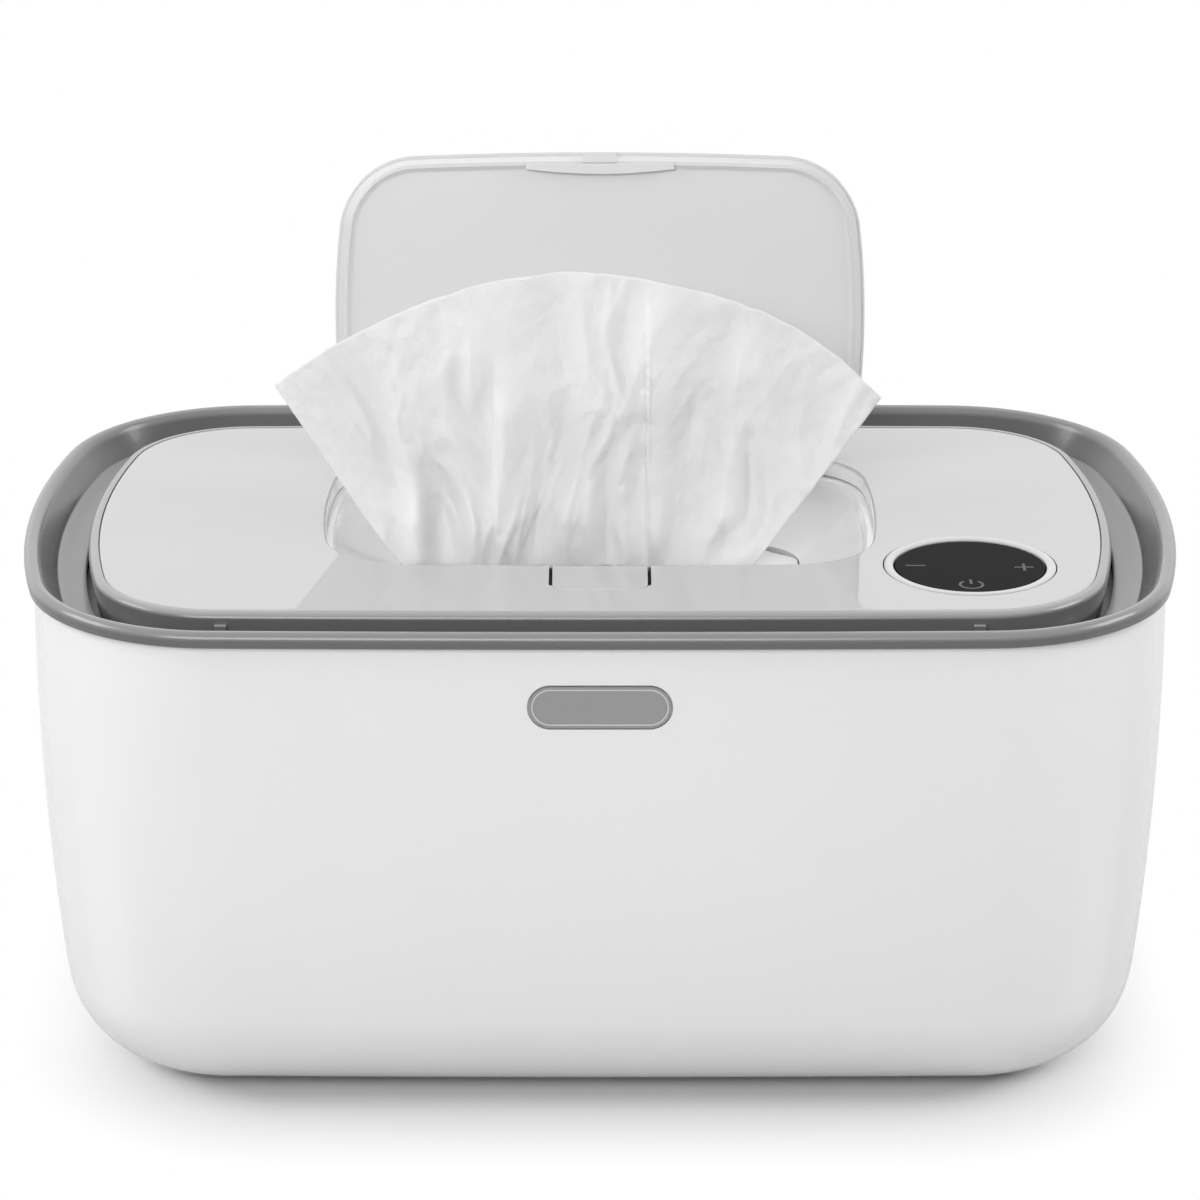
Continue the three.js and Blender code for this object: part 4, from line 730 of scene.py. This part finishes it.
KNUCKLE_GAP, KNUCKLE_LENGTH = 0.5, 4
beside = EAR_HALF + KNUCKLE_GAP
hinge_reach = EARS_X[1] + beside + KNUCKLE_LENGTH
notch_front = FLAP_AXIS_Y - 2.0
CUT_HALF, CUT_BACK, CUT_BOTTOM, CUT_TOP = 64, WELL_BACK + 2, 112, 119
notches = [(-6, 6, notch_front)] + [(x - beside, x + beside, notch_front) for x in EARS_X]
notches += [(-CUT_HALF, -hinge_reach - 0.3, FLAP_AXIS_Y - 2.6), (hinge_reach + 0.3, CUT_HALF, FLAP_AXIS_Y - 2.6)]
flap_cuts = [axle(FLAP_BORE, -66, 66, FLAP_AXIS)]
flap_cuts += [brick((first, front, CUT_BOTTOM), (last, CUT_BACK, CUT_TOP)) for first, last, front in notches]
flap_knuckles = [axle(EAR_RADIUS, start, start + KNUCKLE_LENGTH, FLAP_AXIS, 32)
                 for x in EARS_X for start in (x - beside - KNUCKLE_LENGTH, x + beside)]
flap_rings = [flap_ring(0.15, FLAP_THICK), flap_ring(0, FLAP_THICK - 0.15), flap_ring(0, FLAP_EDGE)]
flap_rings += [flap_ring(FLAP_EDGE * (1 - c), FLAP_EDGE * (1 - s)) for s, c in quarter_turn(5)[1:]]
flap_rings += [flap_ring(1.3, 0)]
flap_white = plastic("flap_satin_white", (0.68, 0.68, 0.68), 0.25, grain=500, depth=0.01, drift=0.005,
                     spread=0.006, coat=0.1)
flap_mesh = cut_mesh(skin_mesh("flap", flap_rings, capped=True), flap_cuts, flap_knuckles)
piece("flap_plate", opened(soften(flap_mesh, merge=0.5)), flap_white, "flap", "flap_shell", slot="white_gloss")

LINER_TOP = FLAP_THICK + 0.3
LINER_STEPS = [
    (0.8, 0), (0.8, 0.75), (0.87, 0.93), (1.05, 1.0), (2.0, 1.02), (2.25, 1.1), (2.4, 1.3), (2.5, 1.62),
    (2.65, 1.72), (3.15, 1.74), (3.4, 1.68), (3.6, 1.45), (3.8, 1.34), (4.1, 1.3),
]
liner_rings = [flap_ring(inset, LINER_TOP + drop) for inset, drop in LINER_STEPS]
TONGUE_HALF, TONGUE_LEVEL = 4, 112.75
tongue_back = WELL_FRONT + FLAP_GAP + 2.4
tongue = [
    brick((-TONGUE_HALF, WELL_FRONT + 0.45, TONGUE_LEVEL), (TONGUE_HALF, tongue_back, 113.35)),
    brick((-TONGUE_HALF, WELL_FRONT + FLAP_GAP + 0.8, TONGUE_LEVEL), (TONGUE_HALF, tongue_back, 113.9)),
]
CATCH_Y, CATCH_HALF, CATCH_GAP, CATCH_TOP = WELL_FRONT + FLAP_GAP + 2.7, 17.5, 0.3, 112.8
catch_seat = brick((-CATCH_HALF - CATCH_GAP, CATCH_Y - CATCH_GAP, 108),
                   (CATCH_HALF + CATCH_GAP, CATCH_Y + 2.5 + CATCH_GAP, CATCH_TOP + CATCH_GAP))
hinge_cut = brick((-CUT_HALF, notch_front, WELL_LEVEL), (CUT_HALF, CUT_BACK, CUT_TOP))
liner_mesh = soften(cut_mesh(skin_mesh("liner", liner_rings, capped=True), [hinge_cut, catch_seat], tongue))
piece("flap_tray", opened(liner_mesh), flap_white, "flap", "flap_liner", slot="white_satin")

crescent = [(CATCH_HALF * (i / 20 - 1), CATCH_Y) for i in range(41)]
crescent += [(CATCH_HALF * (1 - i / 20), CATCH_Y + 1.3 + 1.2 * (1 - (1 - i / 20) ** 2)) for i in range(41)]


def drawn_in(amount):
    """The crescent drawn in towards its middle line by a little."""
    middle = sum(y for _, y in crescent) / len(crescent)
    return [(x * (1 - amount / CATCH_HALF), y + (middle - y) * amount / 1.6) for x, y in crescent]


catch_layers = [(111.5, drawn_in(0.2)), (111.7, crescent), (112.6, crescent), (CATCH_TOP, drawn_in(0.1))]
catch_mesh = opened(soften(flat_skin("catch", catch_layers)))
piece("flap_crescent", catch_mesh, flap_white, "flap", "flap_catch", slot="white_gloss")


def finished(tree, given, body):
    """The tree with its end: what it makes turned into plain geometry with its material."""
    real = wired(tree, "RealizeInstances", "Geometry", {"Geometry": body})
    coat = wired(tree, "SetMaterial", "Geometry", {"Geometry": real, "Material": given["Finish"]})
    return give(tree, {"Body": coat})


def sweep_tree():
    """A tree that sweeps a round section along an edge loop."""
    inputs = {"Path": "Geometry", "Radius": "Float", "Sides": "Int", "Finish": "Material"}
    tree, given = new_tree("swept_section", "GeometryNodeTree", inputs, {"Body": "Geometry"})
    line = wired(tree, "MeshToCurve", "Curve", {"Mesh": given["Path"]})
    section = wired(tree, "CurvePrimitiveCircle", "Curve",
                    {"Radius": given["Radius"], "Resolution": given["Sides"]})
    swept_line = wired(tree, "CurveToMesh", "Mesh",
                       {"Curve": line, "Profile Curve": section, "Fill Caps": True})
    return finished(tree, given, wired(tree, "SetShadeSmooth", "Geometry", {"Geometry": swept_line}))


SWEEP = sweep_tree()


def grown(name, tree, start, **inputs):
    """A plain mesh that a tree grows from a starting mesh, with its inputs set by their sockets."""
    obj = placed(name, start)
    modifier = obj.modifiers.new("grow", "NODES")
    modifier.node_group = tree
    for socket in tree.interface.items_tree:
        if socket.in_out == "INPUT" and socket.name.lower() in inputs:
            modifier[socket.identifier] = inputs[socket.name.lower()]
    return plain_mesh(obj, name)


def swept(name, points, radius, finish, sides=12, loop=True):
    """A round section swept along points in millimetres."""
    mesh = bpy.data.meshes.new(name)
    count = len(points)
    edges = [(i, (i + 1) % count) for i in range(count if loop else count - 1)]
    mesh.from_pydata([tuple(p * MM) for p in points], edges, [])
    return grown(name, SWEEP, mesh, radius=radius * MM, sides=sides, finish=finish)


seal_clear = plastic("seal_soft_clear", (0.66, 0.66, 0.65), 0.45, grain=1200, depth=0.05, drift=0.04)
seal_mesh = swept("flap_seal_bead", flap_ring(2.92, LINER_TOP + 1.8), 0.22, seal_clear)
piece("flap_seal_bead", opened(seal_mesh), seal_clear, "flap", "flap_seal", slot="silicone")

# Hinge pins and spring: bright steel wire; one pin runs through the flap's ears with a torsion spring on it,
# and two short pins hold the lid to the collar's arms.
steel = plastic("steel_bright", (0.60, 0.61, 0.63), 0.22, grain=1800, depth=0.05, drift=0.05, metal=1)
flap_pin = axle(0.8, -hinge_reach, hinge_reach, FLAP_AXIS)
piece("flap_pin", soften(flap_pin), steel, "lid", "flap_hinge_pin", slot="steel")
for number, x in enumerate(HINGE_X, 1):
    lid_pin = axle(1.15, x - LUG_FAR, x + LUG_FAR, HINGE)
    piece(f"lid_pin_{number}", soften(lid_pin), steel, "lid", f"lid_hinge_pin_{number}", slot="steel")
COILS, COIL_HALF, COIL_RADIUS, WIRE = 14, 5, 1.25, 0.22
coil_steps = COILS * 16
coil_line = [
    Vector((COIL_HALF * (2 * i / coil_steps - 1), FLAP_AXIS_Y + COIL_RADIUS * math.cos(i * math.pi / 8),
            FLAP_AXIS_Z + COIL_RADIUS * math.sin(i * math.pi / 8)))
    for i in range(coil_steps + 1)
]
coil_mesh = swept("flap_coil", coil_line, WIRE, steel, sides=8, loop=False)
piece("flap_coil", coil_mesh, steel, "lid", "flap_spring", slot="steel")

# Pulled wipe: one damp non-woven sheet drawn up through the slot, gathered to half its width there
# and fanned out above the lid; its short tail turns back at the slot, and what lies in the tank is left out.
FAN_X, FAN_LEVEL, FAN_RADIUS, TAIL_RADIUS = -6.5, 51, 117, 46
FAN_LEFT, FAN_RIGHT = -35.45, 37.18
ACROSS, UP = 260, 120
WIPE_Y, WIPE_LEAN, WIPE_THICK = -3.6, 0.139, 0.35
TAIL_BACK, TAIL_RISE, TAIL_RIGHT, TAIL_LEFT, TAIL_FORWARD = 17.6, 0.74, 11.2, 1.6, 1.8


def ease(value, first, last):
    """0 before the first value, 1 after the last, and smooth between them."""
    share = min(1, max(0, (value - first) / (last - first)))
    return share * share * (3 - 2 * share)


def ridge(value, place, width):
    """A smooth ridge round a place."""
    return math.exp(-((value - place) / width) ** 2)


def wipe_folds(x, rise):
    """How far the cloth stands back at a place and a height over the slot: main folds, then finer wrinkles."""
    high = rise / 60
    # Each of these folds has a depth, a place across, a width, and heights between which it fades.
    depth = -4.6 * ease(x, -24.5, -23.8) * ridge(x, -21.6, 3.0 + 1.2 * high) * ease(rise, 50, 36)
    depth -= 4.4 * ease(x, 10.6, 11.3) * math.exp(-max(0, x - 11.3) / 10) * ease(rise, -8, 6) * ease(rise, 66, 44)
    depth -= 4.2 * ridge(x, 27 + 7 * high, 3.2) * ease(rise, 2, 14) * ease(rise, 58, 42)
    depth -= 2.0 * ridge(x, -29, 1.7) * ridge(rise, 46, 8)
    depth -= 4.0 * ridge(x, -7, 6) * ease(rise, 26, 14) - 3.4 * ridge(x, 2.5, 2.6) * ease(rise, 44, 6)
    depth += (3.4 * ridge(x, -34 - 6 * high, 3.4) * ease(rise, 44, 4)
              - 3.0 * ridge(x, -40 - 9 * high, 3) * ease(rise, 50, 8))
    wander = noise.noise(Vector((x * 0.03, rise * 0.035, 31.3)))
    along = rise + 14 * noise.noise(Vector((x * 0.05, rise * 0.02, 57.7)))
    place = x / (1 + max(0, rise) / 130) + 9 * wander
    calm = 1.15 - 0.4 * high
    depth += calm * 5.0 * noise.noise(Vector((place * 0.04, along * 0.012, 1.7)))
    for size, across_scale, along_scale, seed in ((4.4, 0.07, 0.017, 5.3), (1.7, 0.16, 0.05, 9.1)):
        crease = noise.noise(Vector((place * across_scale, along * along_scale, seed)))
        depth += calm * size * (1.5 * abs(crease) - 0.35)
    depth += 0.5 * noise.noise(Vector((place * 0.45, along * 0.25, 13.9)))
    return depth + 0.16 * noise.noise(Vector((x * 1.1, rise * 0.9, 21.4)))


def wipe_point(across, up):
    """A point of the wipe: a fan over the slot, and a tail that spreads out and turns back at the slot's level."""
    angle = math.radians(FAN_LEFT + (FAN_RIGHT - FAN_LEFT) * across)
    outer = FAN_RADIUS + 6 * math.sin(math.pi * across) * (0.6 + 0.4 * across)
    radius = TAIL_RADIUS + (outer - TAIL_RADIUS) * up
    x, level = FAN_X + radius * math.sin(angle), FAN_LEVEL + radius * math.cos(angle)
    rise = level - SLOT_LEVEL
    under = max(0, 0.1 - rise)
    y = WIPE_Y + WIPE_LEAN * rise + wipe_folds(x, rise) * ease(rise, -4, 14) + min(TAIL_BACK, 3.8 * under)
    y -= TAIL_FORWARD * ease(across, 0.7, 1) * (1 - ease(rise, 0, 16))
    spread = ease(under, 0, 1.0) - 0.55 * ease(under, 2.2, 4.7)
    x += (TAIL_RIGHT * spread + 0.75 * min(under, 3)) * ease(across, 0.55, 1)
    x -= TAIL_LEFT * spread * ease(across, 0.4, 0)
    return Vector((x, y, level + TAIL_RISE * min(under, 5))) * MM


wipe_bm = bmesh.new()
wipe_rows = [[wipe_bm.verts.new(wipe_point(i / ACROSS, j / UP)) for i in range(ACROSS + 1)] for j in range(UP + 1)]
wipe_uv = wipe_bm.loops.layers.uv.new("cloth")
for j in range(UP):
    for i in range(ACROSS):
        corners = ((i, j), (i + 1, j), (i + 1, j + 1), (i, j + 1))
        face = wipe_bm.faces.new([wipe_rows[v][u] for u, v in corners])
        face.smooth = True
        for loop, (u, v) in zip(face.loops, corners):
            loop[wipe_uv].uv = (u / ACROSS, v / UP * 0.5)
wipe_mesh = drained(wipe_bm, "wipe")


def cloth_material():
    """Damp non-woven cloth: fine random fibres, faint crush marks, a little light through it."""
    material, tree, shader = new_material("wipe_cloth")
    place = wired(tree, "UVMap", "UV", uv_map="cloth")
    fibres = wired(tree, "TexNoise", "Fac", {"Vector": place, "Scale": 320, "Detail": 6, "Distortion": 1.2})
    crush = wired(tree, "TexNoise", "Fac", {"Vector": place, "Scale": 22, "Detail": 8, "Roughness": 0.6})
    tint = vectors(tree, "SCALE", (0.85, 0.85, 0.85), ramp(tree, crush, 0.3, 0.7, 0.975, 1.0))
    height = sums(tree, "MULTIPLY_ADD", fibres, 0.5, crush)
    bump = wired(tree, "Bump", "Normal", {"Strength": 0.5, "Distance": 0.0006, "Height": height})
    feed(tree, shader, {
        "Base Color": tint, "Normal": bump, "Roughness": 0.62, "Sheen Weight": 0.15, "Subsurface Weight": 0.25,
        "Subsurface Radius": (0.002, 0.002, 0.002),
    })
    return material


wipe = piece("pulled_wipe", wipe_mesh, cloth_material(), "lid", "wipe_sheet", slot="cloth")
thick = wipe.modifiers.new("thickness", "SOLIDIFY")
thick.thickness = WIPE_THICK * MM
thick.offset = 0
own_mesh(wipe)

# Wipe tank and lid pan: satin off-white mouldings behind the lid, with a soft gasket between them;
# the tank hangs by its flange in the collar and the pan is screwed up into the cover.
tank_white = plastic("tank_satin_white", (0.72, 0.72, 0.71), 0.35, grain=900, depth=0.04, drift=0.02, dust=0.05)


def finish_node(material, *names):
    """A CAD node whose shape is right keeps it and takes this material."""
    for name in names:
        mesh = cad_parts[name].data
        mesh.materials.clear()
        mesh.materials.append(material)


finish_node(tank_white, "wipe_tank", "lid_pan", "panel_light_guide", "board_terminal")
finish_node(seal_clear, "lid_gasket")

# Base plate and feet: a satin grey plate closes the shell from below, with four steel screws
# and four round rubber feet pressed into its pockets.
finish_node(collar_grey, "base_plate")
foot_rubber = plastic("foot_rubber_grey", (0.13, 0.13, 0.135), 0.75, grain=1600, depth=0.15, drift=0.08, dust=0.1)


def scatter_tree():
    """A tree that sets one piece on every point of a mesh."""
    inputs = {"Places": "Geometry", "Piece": "Object", "Finish": "Material"}
    tree, given = new_tree("set_on_places", "GeometryNodeTree", inputs, {"Body": "Geometry"})
    points = wired(tree, "MeshToPoints", "Points", {"Mesh": given["Places"]})
    copy = wired(tree, "ObjectInfo", "Geometry", {"Object": given["Piece"]})
    put = wired(tree, "InstanceOnPoints", "Instances", {"Points": points, "Instance": copy})
    return finished(tree, given, put)


SCATTER = scatter_tree()


def repeated(name, one, places, finish):
    """One mesh set on places in millimetres, as a plain mesh."""
    sample = placed("sample", one)
    points = bpy.data.meshes.new(name)
    points.from_pydata([tuple(Vector(p) * MM) for p in places], [], [])
    made = grown(name, SCATTER, points, piece=sample, finish=finish)
    bpy.data.objects.remove(sample)
    return made


foot_profile = [(4.6, 0.0), (5.4, 0.0), (6.2, 0.05), (6.6, 0.15), (6.9, 0.45), (7.0, 0.8), (7.0, 1.9)]
FEET = [(x, y, 0) for x in (-80.04, 80.04) for y in (-30.04, 30.04)]
feet_mesh = repeated("feet", soften(turned("foot", foot_profile, steps=48)), FEET, foot_rubber)
piece("feet", feet_mesh, foot_rubber, "base", "foot_1", "foot_2", "foot_3", "foot_4", slot="rubber")
RECESS_HALF, RECESS_LENGTH, RECESS_DEPTH = 0.28, 1.5, 0.6


def cross_screw(length):
    """A pan-head screw with a cross recess, its head at the origin and its shank up."""
    profile = [(2.0, 0.0), (2.5, 0.12), (2.8, 0.45), (2.8, 1.0), (1.3, 1.0), (1.3, length + 0.5), (0.7, length + 1)]
    recess = [brick((-x, -y, -RECESS_DEPTH), (x, y, RECESS_DEPTH))
              for x, y in ((RECESS_LENGTH, RECESS_HALF), (RECESS_HALF, RECESS_LENGTH))]
    return soften(cut_mesh(turned("screw", profile, steps=32), recess))


for body, length, level, places in (("base", 5.2, 1.1, BASE_SCREWS), ("lid", 6.6, 104.3, LID_SCREWS)):
    screws = repeated(f"{body}_screws", cross_screw(length), [(x, y, level) for x, y in places], steel)
    names = [f"{body}_screw_{number}" for number in range(1, 5)]
    piece(f"{body}_screws", screws, steel, body, *names, slot="steel")

# Heater, board, inlet and leads: an aluminium spreader and amber film under the tank's floor, wrapped with foam,
# a small green power board on posts, and black leads that run up the rear wall to the lid's hinge.
aluminium = plastic("spreader_aluminium", (0.68, 0.69, 0.70), 0.35, grain=400, depth=0.08, drift=0.04, metal=1)
film_amber = plastic("film_amber", (0.45, 0.17, 0.04), 0.3, grain=200, depth=0.05, drift=0.15)
foam_white = plastic("insulation_foam", (0.72, 0.72, 0.70), 0.9, grain=700, depth=0.5, drift=0.06)
board_green = plastic("board_green", (0.02, 0.13, 0.05), 0.35, grain=300, depth=0.05, drift=0.2)
black_moulded = plastic("black_moulded", (0.016, 0.016, 0.018), 0.4, grain=1200, depth=0.08, drift=0.1)
finish_node(aluminium, "heat_spreader")
finish_node(film_amber, "heater_film")
finish_node(foam_white, "insulation_pad")
finish_node(board_green, "power_board", "panel_board")
finish_node(steel, "thermal_cutoff", "inlet_nut")
finish_node(black_moulded, "temperature_sensor", "board_capacitor", "inlet_lead", "lid_lead_lower", "lid_lead_upper",
            "power_inlet")

# Floor, backdrop and lights: a pale floor that runs into a white background, an even room light that is stronger
# from behind, one wide soft light in front and one at each side.
floor_mesh = bpy.data.meshes.new("floor")
floor_mesh.from_pydata([(-6, -6, 0), (6, -6, 0), (6, 6, 0), (-6, 6, 0)], [], [(0, 1, 2, 3)])
floor = placed("floor", floor_mesh)
CORE, FADE_START, FADE_END = (0.07, 0.035, 0), 0.028, 0.0635
floor_material, tree, shader = new_material("floor_white")
camera_ray = wired(tree, "LightPath", "Is Camera Ray")
floor_place = wired(tree, "TexCoord", "Object")
floor_past = vectors(tree, "SUBTRACT", vectors(tree, "ABSOLUTE", floor_place), CORE)
floor_distance = vectors(tree, "LENGTH", vectors(tree, "MAXIMUM", floor_past), out="Value")
floor_seen = sums(tree, "MULTIPLY", ramp(tree, floor_distance, FADE_START, FADE_END), camera_ray)
floor_tone = wired(tree, "Mix", "Result",
                   {"Factor": camera_ray, "A": (0.7, 0.7, 0.7, 1), "B": (0.74, 0.74, 0.74, 1)}, data_type="RGBA")
feed(tree, shader, {"Base Color": floor_tone, "Roughness": 0.25, "Specular IOR Level": 0.3})
floor_glow = wired(tree, "Emission", 0)
floor_mix = wired(tree, "MixShader", 0, {"Fac": floor_seen, 1: shader.outputs[0], 2: floor_glow})
feed(tree, tree.nodes["Material Output"], {"Surface": floor_mix})
floor_mesh.materials.append(floor_material)

world = bpy.data.worlds.new("room")
world.use_nodes = True
scene.world = world
tree, white = world.node_tree, (1, 1, 1, 1)
room_place = wired(tree, "TexCoord", "Generated")
direction = wired(tree, "SeparateXYZ", None, {"Vector": room_place}).outputs
room_back = ramp(tree, direction["Y"], -0.1, 0.55, 0.38, 1.15, "SMOOTHSTEP")
room_flag = ramp(tree, sums(tree, "ABSOLUTE", direction["X"]), 0.72, 0.86, 1, 0.5, "SMOOTHSTEP")
room_tone = sums(tree, "MULTIPLY", room_back, room_flag)
room = tree.nodes["Background"]
feed(tree, room, {"Color": white, "Strength": room_tone})
seen = wired(tree, "Background", 0, {"Color": white, "Strength": 1})
path = wired(tree, "LightPath").outputs
straight = sums(tree, "MAXIMUM", path["Is Camera Ray"], path["Is Transmission Ray"])
world_mix = wired(tree, "MixShader", 0, {"Fac": straight, 1: room.outputs[0], 2: seen})
feed(tree, tree.nodes["World Output"], {"Surface": world_mix})


def soft_light(name, place, aim, width, height, power):
    """A wide soft light at a place in metres, aimed at a point."""
    data = bpy.data.lights.new(name, "AREA")
    data.shape = "RECTANGLE"
    data.size, data.size_y = width, height
    data.energy = power
    light = placed(name, data)
    light.location = place
    light.rotation_euler = (Vector(aim) - Vector(place)).to_track_quat("-Z", "Y").to_euler()


soft_light("front_light", (-0.4, -1.55, 1.0), (0, 0, 0.06), 1.2, 0.7, 15)
soft_light("left_light", (-1.35, -0.05, 0.9), (-0.1, 0, 0.06), 0.9, 0.6, 9)
soft_light("right_light", (1.35, -0.05, 0.9), (0.1, 0, 0.06), 0.8, 0.6, 9)
